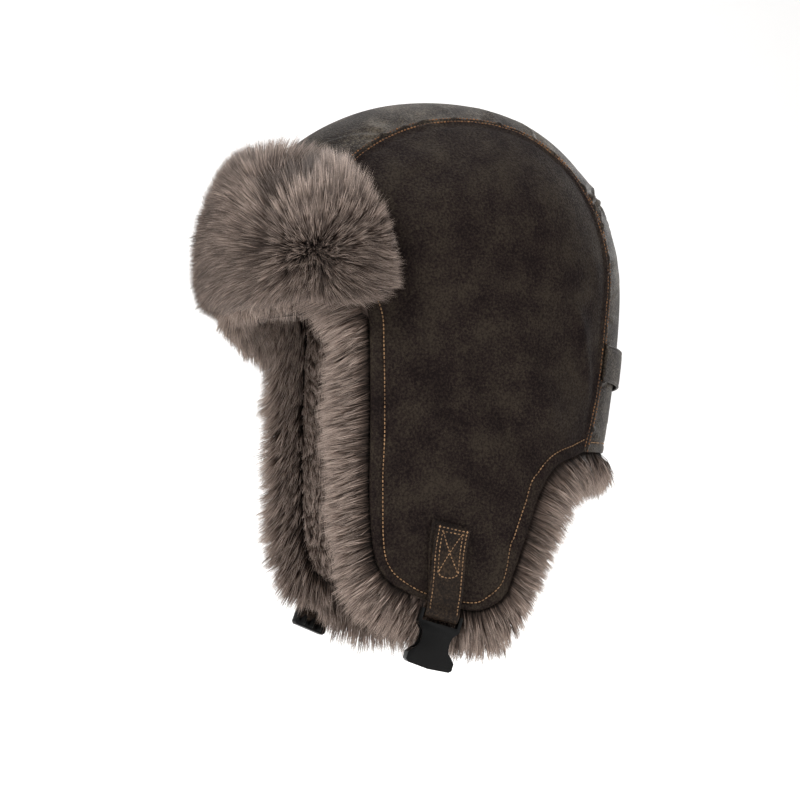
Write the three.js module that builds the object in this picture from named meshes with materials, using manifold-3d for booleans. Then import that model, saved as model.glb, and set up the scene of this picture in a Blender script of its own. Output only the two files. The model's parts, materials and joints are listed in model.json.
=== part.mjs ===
// An aviator hat: a leather crown of two side panels and a centre strip, long ear
// flaps that hang straight down, a fur flap folded up over the brow, a deep fur
// lining that stands out round every free edge, a loop across the back, and two
// short straps with the halves of a side-release buckle.
//
// Millimetres. +Z is up, -Y is forward and +X is the wearer's left. The origin is
// the middle of the head opening, level with the brow edge of the leather.
import * as THREE from 'three';
import { mergeVertices } from 'three/addons/utils/BufferGeometryUtils.js';
import Module from 'manifold-3d';

const wasm = await Module();
wasm.setup();

// Crown
const CROWN_HALF_WIDTH = 90;
const CROWN_FRONT = 128; // crown axis to the middle of the brow
const CROWN_BACK = 113; // crown axis to the middle of the back
const CROWN_HEIGHT = 118;
const CROWN_AXIS_BEHIND = 6; // how far the crown axis lies behind the origin
const STRIP_HALF_WIDTH = 50; // at the top of the crown
const LEATHER = 1.6;
const SEAM_GAP = 0.3;

// Nape and ear flaps, measured down from the brow edge
const NAPE_DROP = 98;
const NAPE_TUCK = 13; // how far the nape curves in towards the neck
const FLAP_DROP = 188;
const FLAP_REACH = 67.5; // the flap's front edge lies this far ahead of the origin
const FLAP_TAPER = 7; // how far the foot of a flap leans in
const FLAP_FLATTENING = 20; // the flaps are flatter front to back than the crown

// Fur
const LINING_PILE = 11;
const LINING_GAP = 0.9; // between the fur of the sides and of the middle
const FRINGE = 28; // how far the fur stands out past the front edge of a flap
const FRINGE_DEPTH = 21;
const BROW_FRINGE = 35;
const NAPE_FRINGE = 26;
const HEM_LEAN = 0.4; // the nape's fringe follows the neck in, as a share of FRINGE
const END_NARROWING = 0.1; // of the middle fringes towards their tips
const LOCK = 0.1; // how unevenly the locks of fur end, as a share of their length
const BROW_TUCK = 0.3; // how far the folded flap presses the brow's fringe in
const BROW_FLARE = 0.55; // how far its tips stand out again; both of FRINGE_DEPTH

// Fur flap folded up over the brow
const BRIM_HEIGHT = 58;
const BRIM_DROP = 4; // the fold lies this far below the brow edge
const BRIM_ANGLE = 45; // degrees from the front to each end of the leather
const BRIM_CORNER = 24;
const BRIM_STANDOFF = 0.6;
const BRIM_FUR_DEPTH = 26;
const BRIM_FUR_OVER = 16; // how far the fur stands past the top and the ends
const BRIM_FUR_UNDER = 14;
const BRIM_FUR_BULGE = 0.75; // 1 is a round section, less is a fuller one

// Loop across the back
const LOOP_WIDTH = 22;
const LOOP_DROP = 33; // brow edge down to the top of the loop
const LOOP_STANDOFF = 1.4;
const LOOP_SAG = 3;

// Straps
const STRAP_WIDTH = 19.5;
const STRAP_LAYER = 1.8;
const STRAP_TOP_DROP = 139;
const STRAP_FORE = 21;
const STRAP_CLEARANCE = 0.4;
const FLAT_FROM = 0.25; // a strap leaves the flap's curve from this share of its length
const FLAT_TO = 0.55;
const SOCKET_STRAP_LENGTH = 51;
const PRONG_STRAP_LENGTH = 72;
const PRONG_BAR_BACK = 4.4; // the prongs' bar lies this far behind its strap's middle
const PRONG_STANDOFF = 4.5; // the fur pushes the end of the prongs' strap out
const PRONG_TWIST = 12; // degrees the same end turns towards the front

// Side-release buckle
const BAR = 2.4;
const BAR_SLOT = 4.2;
const BAR_EYE = 0.7; // clearance of the strap round the bar
const BUCKLE_ARM = 2.1;
const BUCKLE_ROOM = 0.6; // what a buckle half keeps clear of the fur
const SOCKET_LENGTH = 32;
const SOCKET_WIDTH = 27;
const SOCKET_FULL = 0.31; // share of its length where the socket reaches full depth
const SOCKET_THROAT = 0.8; // and where its hollow reaches full width
const SOCKET_DEPTH = 8.6;
const SOCKET_BAR_DEPTH = 5.4;
const SOCKET_WALL = 1.6;
const PRONG_LENGTH = 18;
const PRONG_WIDTH = 3.2;
const PRONG_DEPTH = 4.4;
const PRONG_END_BAR = 3;
const GUIDE_WIDTH = 7;
const GUIDE_RIM = 1.6;

// The crown's middle profile, from the brow (0 degrees) over the top (90) to the
// back (180). Reach is a share of the plain ellipse of the sizes above.
const CROWN_PROFILE = [
  { turn: 0, reach: 1.0 },
  { turn: 15, reach: 1.022 },
  { turn: 35, reach: 1.052 },
  { turn: 60, reach: 1.027 },
  { turn: 90, reach: 1.0 },
  { turn: 120, reach: 1.013 },
  { turn: 150, reach: 1.011 },
  { turn: 180, reach: 1.0 },
];

// Half width of the centre strip, as a share of its width at the top. Turns from
// 180 to 270 run down the nape to its hem.
const STRIP_TAPER = [
  { turn: 0, width: 1.14 },
  { turn: 30, width: 1.1 },
  { turn: 60, width: 1.04 },
  { turn: 90, width: 1.0 },
  { turn: 120, width: 1.04 },
  { turn: 150, width: 1.16 },
  { turn: 180, width: 1.235 },
  { turn: 240, width: 1.27 },
  { turn: 270, width: 1.34 },
];

// Soft folds that cross the centre strip. Depth is a share of the leather's
// thickness, reach and slant are in degrees of turn, side is the middle of the
// fold across the strip, from -1 to 1.
const STRIP_FOLDS = [
  { turn: 38, reach: 5, depth: 0.7, side: 0.5, slant: 14 },
  { turn: 52, reach: 4, depth: 0.8, side: -0.4, slant: -12 },
  { turn: 64, reach: 5, depth: 0.65, side: 0.6, slant: 16 },
  { turn: 112, reach: 6, depth: 0.7, side: -0.5, slant: 10 },
  { turn: 128, reach: 5, depth: 0.75, side: 0.6, slant: -12 },
  { turn: 158, reach: 6, depth: 0.75, side: 0.2, slant: 8 },
];

// Free edge of a side panel, from the brow round the ear flap. Fore is a share of
// FLAP_REACH and drop a share of FLAP_DROP. The fur's own edge lies out forward
// and down from it, both as shares of FRINGE.
const FLAP_EDGE = [
  { fore: 1.22, drop: 0.011, out: 0.27, down: 0.89 },
  { fore: 1.09, drop: 0.048, out: 0.57, down: 0.89 },
  { fore: 1.01, drop: 0.117, out: 0.77, down: 0.75 },
  { fore: 1.0, drop: 0.239, out: 0.89, down: 0.46 },
  { fore: 1.0, drop: 0.479, out: 0.905, down: 0.3 },
  { fore: 1.0, drop: 0.665, out: 0.88, down: 0.3 },
  { fore: 0.96, drop: 0.824, out: 0.84, down: 0.41 },
  { fore: 0.86, drop: 0.902, out: 0.75, down: 0.69 },
  { fore: 0.65, drop: 0.949, out: 0.54, down: 0.89 },
  { fore: 0.39, drop: 0.979, out: 0.32, down: 1.0 },
  { fore: 0.14, drop: 1.0, out: 0.07, down: 1.07 },
  { fore: -0.01, drop: 0.992, out: -0.14, down: 1.08 },
  { fore: -0.16, drop: 0.957, out: -0.33, down: 0.9 },
  { fore: -0.25, drop: 0.883, out: -0.66, down: 0.59 },
  { fore: -0.38, drop: 0.761, out: -0.78, down: 0.55 },
  { fore: -0.5, drop: 0.649, out: -0.85, down: 0.68 },
];

// The curve from the flap's last row up to the nape seam: along is the share of
// the way back, above is the share of the way up.
const NAPE_CORNER = [
  { along: 0.33, above: 0.63, out: -0.73, down: 0.86 },
  { along: 0.77, above: 0.88, out: -0.48, down: 0.91 },
];

// Section of a fringe: out is the share of the way to the fur's edge, lift the
// share of FRINGE_DEPTH above the leather's outer face.
const FRINGE_SECTION = [
  { out: 0.06, lift: 0.05 },
  { out: 0.32, lift: 0.24 },
  { out: 0.72, lift: 0.2 },
  { out: 1.0, lift: -0.2 },
  { out: 0.78, lift: -0.66 },
  { out: 0.36, lift: -0.86 },
];

// Lobes of the folded fur flap, from its middle (0) to its end (1): how high and
// how deep the fur stands, and how far its middle sinks, as shares of its sizes.
const BRIM_LOBES = [
  { along: 0, high: 1.03, deep: 0.98, sunk: -0.01 },
  { along: 0.3, high: 1.04, deep: 1.02, sunk: -0.01 },
  { along: 0.5, high: 1.0, deep: 0.86, sunk: 0.03 },
  { along: 0.7, high: 0.92, deep: 1.08, sunk: 0.14 },
  { along: 0.86, high: 0.7, deep: 1.0, sunk: 0.32 },
  { along: 0.96, high: 0.46, deep: 0.76, sunk: 0.46 },
  { along: 1, high: 0.26, deep: 0.46, sunk: 0.5 },
];

// How far each strap leans forward, in degrees from straight down, at shares of
// its length.
const SOCKET_STRAP_BENDS = [
  { share: 0, lean: 14 },
  { share: 0.35, lean: 6 },
  { share: 0.7, lean: 6 },
  { share: 1, lean: 16.5 },
];
const PRONG_STRAP_BENDS = [
  { share: 0, lean: 20 },
  { share: 0.35, lean: 30 },
  { share: 0.7, lean: 30 },
  { share: 1, lean: 23 },
];

// Half outlines of the buckle. Across is a share of the half width of the socket
// or the guide, along a share of the socket's length from its bar end, or of
// PRONG_LENGTH from the prongs' root. Inset is a share of PRONG_WIDTH from the
// prong's outer edge.
const SOCKET_OUTLINE = [
  { across: 0.91, along: 0 },
  { across: 0.91, along: 0.25 },
  { across: 0.8, along: 0.31 },
  { across: 0.66, along: 0.38 },
  { across: 0.62, along: 0.45 },
  { across: 0.62, along: 0.58 },
  { across: 0.68, along: 0.66 },
  { across: 0.86, along: 0.73 },
  { across: 1, along: 0.8 },
  { across: 1, along: 0.93 },
  { across: 0.88, along: 0.97 },
  { across: 0, along: 1 },
];
const PRONG_OUTLINE = [
  { inset: 1, along: -0.06 },
  { inset: 0, along: -0.06 },
  { inset: 0, along: 0.5 },
  { inset: -0.8, along: 0.53 },
  { inset: -0.8, along: 0.7 },
  { inset: 0.15, along: 1 },
  { inset: 1, along: 0.94 },
];
const GUIDE_OUTLINE = [
  { across: 1, along: -0.06 },
  { across: 1, along: 0.69 },
  { across: 0.7, along: 0.78 },
];

const degrees = THREE.MathUtils.degToRad;

// A smooth curve through one column of a table
function column(table, at, name) {
  const curve = new THREE.CubicInterpolant(
    table.map((row) => row[at]), table.map((row) => row[name]), 1);
  return (value) => curve.evaluate(value)[0];
}

const profileReach = column(CROWN_PROFILE, 'turn', 'reach');
const stripTaper = column(STRIP_TAPER, 'turn', 'width');

function profileRadius(angle) {
  const length = Math.cos(angle) > 0 ? CROWN_FRONT : CROWN_BACK;
  const ellipse = 1 / Math.hypot(Math.cos(angle) / length, Math.sin(angle) / CROWN_HEIGHT);
  return ellipse * profileReach(THREE.MathUtils.radToDeg(angle));
}

// Half length of the hat below the brow, towards the front or the back
function halfLength(z, towardsBack) {
  const below = Math.max(0, -z);
  if (towardsBack) return CROWN_BACK - NAPE_TUCK * (below / NAPE_DROP) ** 1.6;
  return CROWN_FRONT + FLAP_FLATTENING * THREE.MathUtils.smoothstep(below, 0, NAPE_DROP);
}

function halfWidth(z) {
  const below = Math.max(0, -z);
  return CROWN_HALF_WIDTH - FLAP_TAPER * below / FLAP_DROP;
}

// 0 on the crown axis, 1 on the middle profile
function profileShare(y, z) {
  const back = y - CROWN_AXIS_BEHIND;
  if (z < 0) return Math.abs(back) / halfLength(z, back > 0);
  return Math.hypot(back, z) / profileRadius(Math.atan2(z, -back));
}

// Below 1 inside the hat's outer face, 1 on it
function bulk(x, y, z) {
  return profileShare(y, z) ** 2 + (x / halfWidth(z)) ** 2;
}

function outward(point) {
  const step = 0.5;
  const { x, y, z } = point;
  return new THREE.Vector3(
    bulk(x + step, y, z) - bulk(x - step, y, z),
    bulk(x, y + step, z) - bulk(x, y - step, z),
    bulk(x, y, z + step) - bulk(x, y, z - step)).normalize();
}

function lifted(point, height) {
  return point.clone().addScaledVector(outward(point), height);
}

// Point of the outer face on the wearer's left side
function sidePoint(y, z) {
  const share = Math.min(profileShare(y, z), 0.999);
  return new THREE.Vector3(halfWidth(z) * Math.sqrt(1 - share ** 2), y, z);
}

// Point of the outer face over the middle, x from the middle plane
function stripPoint(turn, x) {
  const z = turn > 180 ? -NAPE_DROP * (turn - 180) / 90 : 0;
  const level = Math.sqrt(1 - (x / halfWidth(z)) ** 2);
  if (turn > 180) {
    return new THREE.Vector3(x, CROWN_AXIS_BEHIND + level * halfLength(z, true), z);
  }
  const angle = degrees(turn);
  const radius = profileRadius(angle) * level;
  return new THREE.Vector3(
    x, CROWN_AXIS_BEHIND - radius * Math.cos(angle), radius * Math.sin(angle));
}

function seamX(turn) {
  return STRIP_HALF_WIDTH * stripTaper(turn);
}

// A solid from points and triangles, with its faces turned outwards
function solid(points, faces) {
  let volume = 0;
  for (const [a, b, c] of faces) {
    volume += points[a].dot(new THREE.Vector3().crossVectors(points[b], points[c]));
  }
  const index = [];
  for (const [a, b, c] of faces) index.push(a, ...(volume > 0 ? [b, c] : [c, b]));
  const geometry = new THREE.BufferGeometry();
  geometry.setAttribute('position', new THREE.Float32BufferAttribute(
    points.flatMap((point) => point.toArray()), 3));
  geometry.setIndex(index);
  return geometry;
}

// A closed skin of rings that starts and ends in one point each
function ringSolid(first, rings, last) {
  const count = rings[0].length;
  const points = [first, ...rings.flat(), last];
  const faces = [];
  const end = points.length - 1;
  for (let i = 0; i < count; i += 1) {
    const next = (i + 1) % count;
    faces.push([0, 1 + i, 1 + next]);
    for (let ring = 1; ring < rings.length; ring += 1) {
      const near = 1 + (ring - 1) * count;
      const far = near + count;
      faces.push([near + i, far + i, far + next], [near + i, far + next, near + next]);
    }
    const outer = end - count;
    faces.push([outer + i, end, outer + next]);
  }
  return solid(points, faces);
}

// A closed skin through loops, with flat ends between each loop's two halves
function loopSolid(loops) {
  const count = loops[0].length;
  const points = loops.flat();
  const faces = [];
  for (let row = 1; row < loops.length; row += 1) {
    const near = (row - 1) * count;
    const far = row * count;
    for (let i = 0; i < count; i += 1) {
      const next = (i + 1) % count;
      faces.push([near + i, far + i, far + next], [near + i, far + next, near + next]);
    }
  }
  const last = (loops.length - 1) * count;
  for (let i = 0; i < count / 2 - 1; i += 1) {
    const across = count - 1 - i;
    faces.push([i, i + 1, across - 1], [i, across - 1, across]);
    faces.push([last + i + 1, last + i, last + across - 1],
      [last + across - 1, last + i, last + across]);
  }
  return solid(points, faces);
}

function mirrored(geometry) {
  const position = geometry.getAttribute('position');
  const points = [];
  for (let i = 0; i < position.count; i += 1) {
    points.push(new THREE.Vector3(-position.getX(i), position.getY(i), position.getZ(i)));
  }
  const faces = [];
  const index = geometry.getIndex().array;
  for (let i = 0; i < index.length; i += 3) faces.push([index[i], index[i + 1], index[i + 2]]);
  return solid(points, faces);
}

// A geometry with only welded positions
function stripped(geometry) {
  const bare = geometry.clone();
  bare.deleteAttribute('normal');
  bare.deleteAttribute('uv');
  return mergeVertices(bare, 1e-4);
}

function toManifold(geometry) {
  const merged = stripped(geometry);
  return new wasm.Manifold(new wasm.Mesh({
    numProp: 3,
    vertProperties: new Float32Array(merged.getAttribute('position').array),
    triVerts: new Uint32Array(merged.getIndex().array),
  }));
}

function fromManifold(body) {
  const mesh = body.getMesh();
  const geometry = new THREE.BufferGeometry();
  geometry.setAttribute('position', new THREE.BufferAttribute(
    new Float32Array(mesh.vertProperties), 3));
  geometry.setIndex(new THREE.BufferAttribute(new Uint32Array(mesh.triVerts), 1));
  return geometry;
}

// Outline of a side panel in the YZ plane, with the fur's edge beside it. The
// free edge runs from the brow round the flap to the nape, the seam back over
// the crown. Inset moves the seam away from the strip.
function sideOutline(inset, freeSteps, seamSteps) {
  const brow = stripPoint(0, seamX(0) + inset);
  const hem = stripPoint(270, seamX(270) + inset);
  const flap = FLAP_EDGE.map((row) => ({
    y: -FLAP_REACH * row.fore, z: -FLAP_DROP * row.drop, out: row.out, down: row.down }));
  const foot = flap[flap.length - 1];
  const corner = NAPE_CORNER.map((row) => ({
    y: THREE.MathUtils.lerp(foot.y, hem.y, row.along),
    z: THREE.MathUtils.lerp(foot.z, hem.z, row.above),
    out: row.out,
    down: row.down,
  }));
  const rows = [
    { y: brow.y, z: brow.z, out: 0, down: BROW_FRINGE / FRINGE },
    ...flap,
    ...corner,
    { y: hem.y, z: hem.z, out: HEM_LEAN, down: NAPE_FRINGE / FRINGE },
  ];
  const edge = new THREE.SplineCurve(rows.map((row) => new THREE.Vector2(row.y, row.z)));
  const reach = new THREE.SplineCurve(rows.map((row) => new THREE.Vector2(
    -FRINGE * row.out, -FRINGE * row.down)));
  const outline = [];
  for (let i = 0; i <= freeSteps; i += 1) {
    outline.push({ edge: edge.getPoint(i / freeSteps), reach: reach.getPoint(i / freeSteps) });
  }
  for (let i = 1; i < seamSteps; i += 1) {
    const turn = 270 * (1 - i / seamSteps);
    const point = stripPoint(turn, seamX(turn) + inset);
    outline.push({ edge: new THREE.Vector2(point.y, point.z), reach: null });
  }
  return outline;
}

const PANEL_MIDDLE = new THREE.Vector2(8, 20);

function panelRings(outline, rings, height) {
  const result = [];
  for (let ring = 1; ring <= rings; ring += 1) {
    result.push(outline.map(({ edge }) => {
      const at = PANEL_MIDDLE.clone().lerp(edge, ring / rings);
      return lifted(sidePoint(at.x, at.y), height);
    }));
  }
  return result;
}

function sidePanel() {
  const outline = sideOutline(SEAM_GAP, 38, 18);
  const rings = 7;
  const middle = sidePoint(PANEL_MIDDLE.x, PANEL_MIDDLE.y);
  const inner = panelRings(outline, rings, -LEATHER).reverse();
  return ringSolid(middle, [...panelRings(outline, rings, 0), ...inner],
    lifted(middle, -LEATHER));
}

function foldDepth(turn, side) {
  let depth = 0;
  for (const fold of STRIP_FOLDS) {
    const off = (turn - fold.turn - fold.slant * side) / fold.reach;
    const fade = Math.max(0, 1 - Math.abs(side - fold.side)) * (1 - side ** 4);
    depth += fold.depth * LEATHER * fade * Math.exp(-off * off);
  }
  return depth;
}

function centreStrip() {
  const along = 46;
  const across = 8;
  const loops = [];
  for (let i = 0; i <= along; i += 1) {
    const turn = 270 * i / along;
    const outer = [];
    const inner = [];
    for (let j = 0; j <= across; j += 1) {
      const side = -1 + 2 * j / across;
      const point = stripPoint(turn, side * seamX(turn));
      const sunk = foldDepth(turn, side);
      outer.push(lifted(point, -sunk));
      inner.unshift(lifted(point, -LEATHER - sunk));
    }
    loops.push([...outer, ...inner]);
  }
  return loopSolid(loops);
}

// How far the lining's fur lies below the leather's outer face, clear of its folds
const DEEPEST_FOLD = Math.max(...STRIP_FOLDS.map((fold) => fold.depth)) * LEATHER;
const LINING_FACE = LEATHER + SEAM_GAP + DEEPEST_FOLD;
const LINING_BACK = LINING_FACE + LINING_PILE;
const LINING_STEPS = 18; // along the seam, so that the linings' edges match

// Height of a fringe above the leather's outer face, where pressed is 1 under the
// folded flap and 0 away from it
function fringeHeight(row, pressed) {
  const tuck = BROW_TUCK * (1 - row.out);
  const flare = BROW_FLARE * Math.max(0, 2 * row.out - 1);
  return (row.lift + pressed * (flare - tuck)) * FRINGE_DEPTH;
}

function sideLining() {
  const freeSteps = 36;
  const outline = sideOutline(LINING_GAP, freeSteps, LINING_STEPS);
  const rings = 4;
  const middle = sidePoint(PANEL_MIDDLE.x, PANEL_MIDDLE.y);
  const fringe = FRINGE_SECTION.map((row, step) => outline.map(({ edge, reach }, i) => {
    const share = (step + 1) / (FRINGE_SECTION.length + 1);
    if (!reach) {
      return lifted(sidePoint(edge.x, edge.y),
        THREE.MathUtils.lerp(-LINING_FACE, -LINING_BACK, share));
    }
    const uneven = row.out === 1 && i % 2 ? 1 - LOCK : 1;
    const at = edge.clone().addScaledVector(reach, row.out * uneven);
    const low = THREE.MathUtils.smoothstep(-edge.y, 0, BROW_FRINGE + BRIM_FUR_UNDER);
    const height = fringeHeight(row, edge.x < 0 ? 1 - low : 0);
    const joined = i === 0 || i === freeSteps;
    return lifted(sidePoint(at.x, at.y), joined ? Math.min(height, -LINING_FACE) : height);
  }));
  return ringSolid(lifted(middle, -LINING_FACE), [
    ...panelRings(outline, rings, -LINING_FACE),
    ...fringe,
    ...panelRings(outline, rings, -LINING_BACK).reverse(),
  ], lifted(middle, -LINING_BACK));
}

// The fringe at an end of the centre lining, hanging from its edge: its outer
// half and its inner half, each from the leather down
function endFringe(turn, x, length, pressed) {
  const edge = stripPoint(turn, x);
  const rows = FRINGE_SECTION.map((row) => {
    const point = edge.clone();
    point.z -= row.out * length;
    point.x *= 1 - END_NARROWING * row.out;
    return lifted(point, fringeHeight(row, pressed));
  });
  const half = rows.length / 2;
  return { outer: rows.slice(0, half), inner: rows.slice(half) };
}

function centreLining() {
  const along = LINING_STEPS;
  const across = 10;
  const loops = [];
  for (let j = 0; j <= across; j += 1) {
    const side = -1 + 2 * j / across;
    const uneven = j % 2 ? 1 - LOCK : 1;
    const outer = [];
    const inner = [];
    for (let i = 0; i <= along; i += 1) {
      const turn = 270 * i / along;
      const point = stripPoint(turn, side * seamX(turn));
      outer.push(lifted(point, -LINING_FACE));
      inner.unshift(lifted(point, -LINING_BACK));
    }
    const hem = endFringe(270, side * seamX(270), NAPE_FRINGE * uneven, 0);
    const brow = endFringe(0, side * seamX(0), BROW_FRINGE * uneven, 1);
    loops.push([
      ...brow.outer.reverse(), ...outer, ...hem.outer,
      ...hem.inner, ...inner, ...brow.inner.reverse(),
    ]);
  }
  return loopSolid(loops);
}

// Point of the crown's face at a plan angle from the front and a height
function browPoint(angle, z) {
  const at = (reach) => new THREE.Vector3(
    reach * Math.sin(angle), CROWN_AXIS_BEHIND - reach * Math.cos(angle), z);
  let near = 0;
  let far = 2 * Math.max(CROWN_FRONT, CROWN_HALF_WIDTH);
  for (let i = 0; i < 30; i += 1) {
    const middle = (near + far) / 2;
    const point = at(middle);
    if (bulk(point.x, point.y, point.z) < 1) near = middle;
    else far = middle;
  }
  return at(near);
}

// Length round the brow from the middle to a plan angle, near enough
const BROW_RADIUS = (CROWN_FRONT + CROWN_HALF_WIDTH) / 2;

function brimLeather() {
  const steps = 20;
  const up = 5;
  const loops = [];
  for (let i = 0; i <= steps; i += 1) {
    const along = -1 + 2 * i / steps;
    const angle = degrees(BRIM_ANGLE) * along;
    const toEnd = (1 - Math.abs(along)) * degrees(BRIM_ANGLE) * BROW_RADIUS;
    const short = Math.max(0, BRIM_CORNER - toEnd);
    const height = BRIM_HEIGHT - BRIM_CORNER + Math.sqrt(BRIM_CORNER ** 2 - short ** 2);
    const inner = [];
    const outer = [];
    for (let j = 0; j <= up; j += 1) {
      const point = browPoint(angle, -BRIM_DROP + height * j / up);
      inner.push(lifted(point, BRIM_STANDOFF));
      outer.unshift(lifted(point, BRIM_STANDOFF + LEATHER));
    }
    loops.push([...inner, ...outer]);
  }
  return loopSolid(loops);
}

function rounded(value, power) {
  return Math.sign(value) * Math.abs(value) ** power;
}

function brimFur() {
  const steps = 28;
  const around = 18;
  const high = column(BRIM_LOBES, 'along', 'high');
  const deep = column(BRIM_LOBES, 'along', 'deep');
  const sunk = column(BRIM_LOBES, 'along', 'sunk');
  const half = (BRIM_HEIGHT + BRIM_FUR_OVER + BRIM_FUR_UNDER) / 2;
  const middle = -BRIM_DROP - BRIM_FUR_UNDER + half;
  const base = BRIM_STANDOFF + LEATHER + 3 * SEAM_GAP;
  const end = degrees(BRIM_ANGLE) + BRIM_FUR_OVER / BROW_RADIUS;
  const loops = [];
  for (let i = 0; i <= steps; i += 1) {
    const along = -1 + 2 * i / steps;
    const place = Math.abs(along);
    const loop = [];
    for (let j = 0; j < around; j += 1) {
      const spin = Math.PI * (2 * j + 1) / around - Math.PI / 2;
      const uneven = (i + j) % 2 ? 1 - LOCK : 1;
      const rise = rounded(Math.sin(spin), BRIM_FUR_BULGE) * half * high(place);
      const out = (1 + rounded(Math.cos(spin), BRIM_FUR_BULGE) * uneven) / 2;
      const point = browPoint(end * along, middle - half * sunk(place) + rise);
      loop.push(lifted(point, base + out * BRIM_FUR_DEPTH * deep(place)));
    }
    loops.push(loop);
  }
  return loopSolid(loops);
}

// The loop across the back, sewn in at both seams and sagging a little between
function backLoop() {
  const across = 12;
  const down = 3;
  const loops = [];
  for (let i = 0; i <= across; i += 1) {
    const side = -1 + 2 * i / across;
    const slack = 1 - side ** 2;
    const inner = [];
    const outer = [];
    for (let j = 0; j <= down; j += 1) {
      const drop = LOOP_DROP + LOOP_SAG * slack + LOOP_WIDTH * j / down;
      const turn = 180 + 90 * drop / NAPE_DROP;
      const point = stripPoint(turn, side * seamX(turn));
      const height = SEAM_GAP + BRIM_STANDOFF + LOOP_STANDOFF * slack;
      inner.push(lifted(point, height));
      outer.unshift(lifted(point, height + LEATHER));
    }
    loops.push([...inner, ...outer]);
  }
  return loopSolid(loops);
}

// Where a strap lies: u across it towards the back, d down it, o out from the
// flap. It starts on the flap's curve and ends in a flat plane at its bar.
function strapPath(length, bends, standoff, twist) {
  const steps = 60;
  const lean = column(bends, 'share', 'lean');
  const line = [new THREE.Vector2(-STRAP_FORE, -STRAP_TOP_DROP)];
  const along = (angle) => new THREE.Vector2(-Math.sin(angle), -Math.cos(angle));
  for (let i = 0; i < steps; i += 1) {
    const angle = degrees(lean((i + 0.5) / steps));
    line.push(line[i].clone().addScaledVector(along(angle), length / steps));
  }
  const hung = line[Math.round(FLAT_FROM * steps)];
  const tangent = sidePoint(hung.x + 0.5, hung.y).x - sidePoint(hung.x - 0.5, hung.y).x;
  const end = line[steps];
  const endX = sidePoint(hung.x, hung.y).x + tangent * (end.x - hung.x) + standoff;
  const slope = Math.tan(Math.atan(tangent) + degrees(twist));
  const planeNormal = new THREE.Vector3(1, -slope, 0).normalize();
  return (u, d, o) => {
    const inside = THREE.MathUtils.clamp(d, 0, length);
    const at = inside / length * steps;
    const low = Math.min(Math.floor(at), steps - 1);
    const angle = degrees(lean(inside / length));
    const spot = line[low].clone().lerp(line[low + 1], at - low)
      .addScaledVector(along(angle), d - inside)
      .add(new THREE.Vector2(Math.cos(angle), -Math.sin(angle)).multiplyScalar(u));
    const flat = THREE.MathUtils.smoothstep(d, FLAT_FROM * length, FLAT_TO * length);
    const curved = sidePoint(spot.x, spot.y);
    const hanging = new THREE.Vector3(endX + slope * (spot.x - end.x), spot.x, spot.y);
    const normal = outward(curved).lerp(planeNormal, flat).normalize();
    return curved.lerp(hanging, flat).addScaledVector(normal, STRAP_CLEARANCE + o);
  };
}

function extruded(shape, depth, curveSegments) {
  const geometry = new THREE.ExtrudeGeometry(shape, {
    depth, steps: 1, bevelEnabled: false, curveSegments });
  geometry.translate(0, 0, -depth / 2);
  return geometry;
}

function polygon(rows) {
  return new THREE.Shape(rows.map(([x, y]) => new THREE.Vector2(x, y)));
}

// Moves each vertex (x, y, z) of a geometry to place(x, y, z)
function mapped(geometry, place) {
  const position = geometry.getAttribute('position');
  for (let i = 0; i < position.count; i += 1) {
    const point = place(position.getX(i), position.getY(i), position.getZ(i));
    position.setXYZ(i, point.x, point.y, point.z);
  }
  return geometry;
}

function outwardFacing(geometry) {
  const position = geometry.getAttribute('position');
  const index = geometry.getIndex().array;
  const points = [];
  for (let i = 0; i < position.count; i += 1) {
    points.push(new THREE.Vector3().fromBufferAttribute(position, i));
  }
  const faces = [];
  for (let i = 0; i < index.length; i += 3) faces.push([index[i], index[i + 1], index[i + 2]]);
  return solid(points, faces);
}

// Two layers sewn together that part round the bar of a buckle. The profile is
// drawn down the strap (x) and out from the flap (y), and is as wide as the strap.
function strapBody(place, length, barBack) {
  const thickness = 2 * STRAP_LAYER;
  const eye = BAR / 2 + BAR_EYE;
  const middle = STRAP_LAYER - barBack;
  const ring = new THREE.Shape();
  ring.absarc(length, middle, eye + STRAP_LAYER, 0, 2 * Math.PI);
  const hole = new THREE.Path();
  hole.absarc(length, middle, eye, 0, 2 * Math.PI);
  ring.holes.push(hole);
  const pieces = 10;
  const tail = length - eye - STRAP_LAYER / 2 + (barBack ? eye : 0);
  const front = [];
  const back = [];
  for (let i = 0; i <= pieces; i += 1) {
    front.push([tail * i / pieces, 0]);
    back.unshift([tail * i / pieces, thickness]);
  }
  const body = toManifold(extruded(polygon([...front, ...back]), STRAP_WIDTH, 1))
    .add(toManifold(extruded(ring, STRAP_WIDTH, 4)));
  return outwardFacing(mapped(fromManifold(body), (d, o, u) => place(u, d, o)));
}

// Stands a buckle half on its strap's bar. Its outline is drawn across (x) and
// away from the bar (y), and z is its depth.
function onBar(body, place, length, barBack, away) {
  const bar = place(0, length, STRAP_LAYER - barBack);
  const across = place(1, length, 0).sub(place(0, length, 0)).normalize();
  const down = place(0, length + 1, 0).sub(place(0, length, 0)).normalize();
  const out = new THREE.Vector3().crossVectors(down, across).normalize();
  return outwardFacing(mapped(fromManifold(body), (u, d, o) => bar.clone()
    .addScaledVector(across, u).addScaledVector(down, d * away).addScaledVector(out, o)));
}

const SLOT_HALF = STRAP_WIDTH / 2 + BAR_EYE;
const BAR_HALF = SLOT_HALF + BUCKLE_ARM;
const SLOT_END = BAR / 2 + BAR_SLOT;

function block(half, from, to, depth) {
  return toManifold(extruded(
    polygon([[-half, from], [half, from], [half, to], [-half, to]]), depth, 1));
}

// Rows of a half outline, then the same rows mirrored back to the start
function bothSides(rows) {
  return [...rows, ...rows.map(([x, y]) => [-x, y]).reverse()];
}

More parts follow.
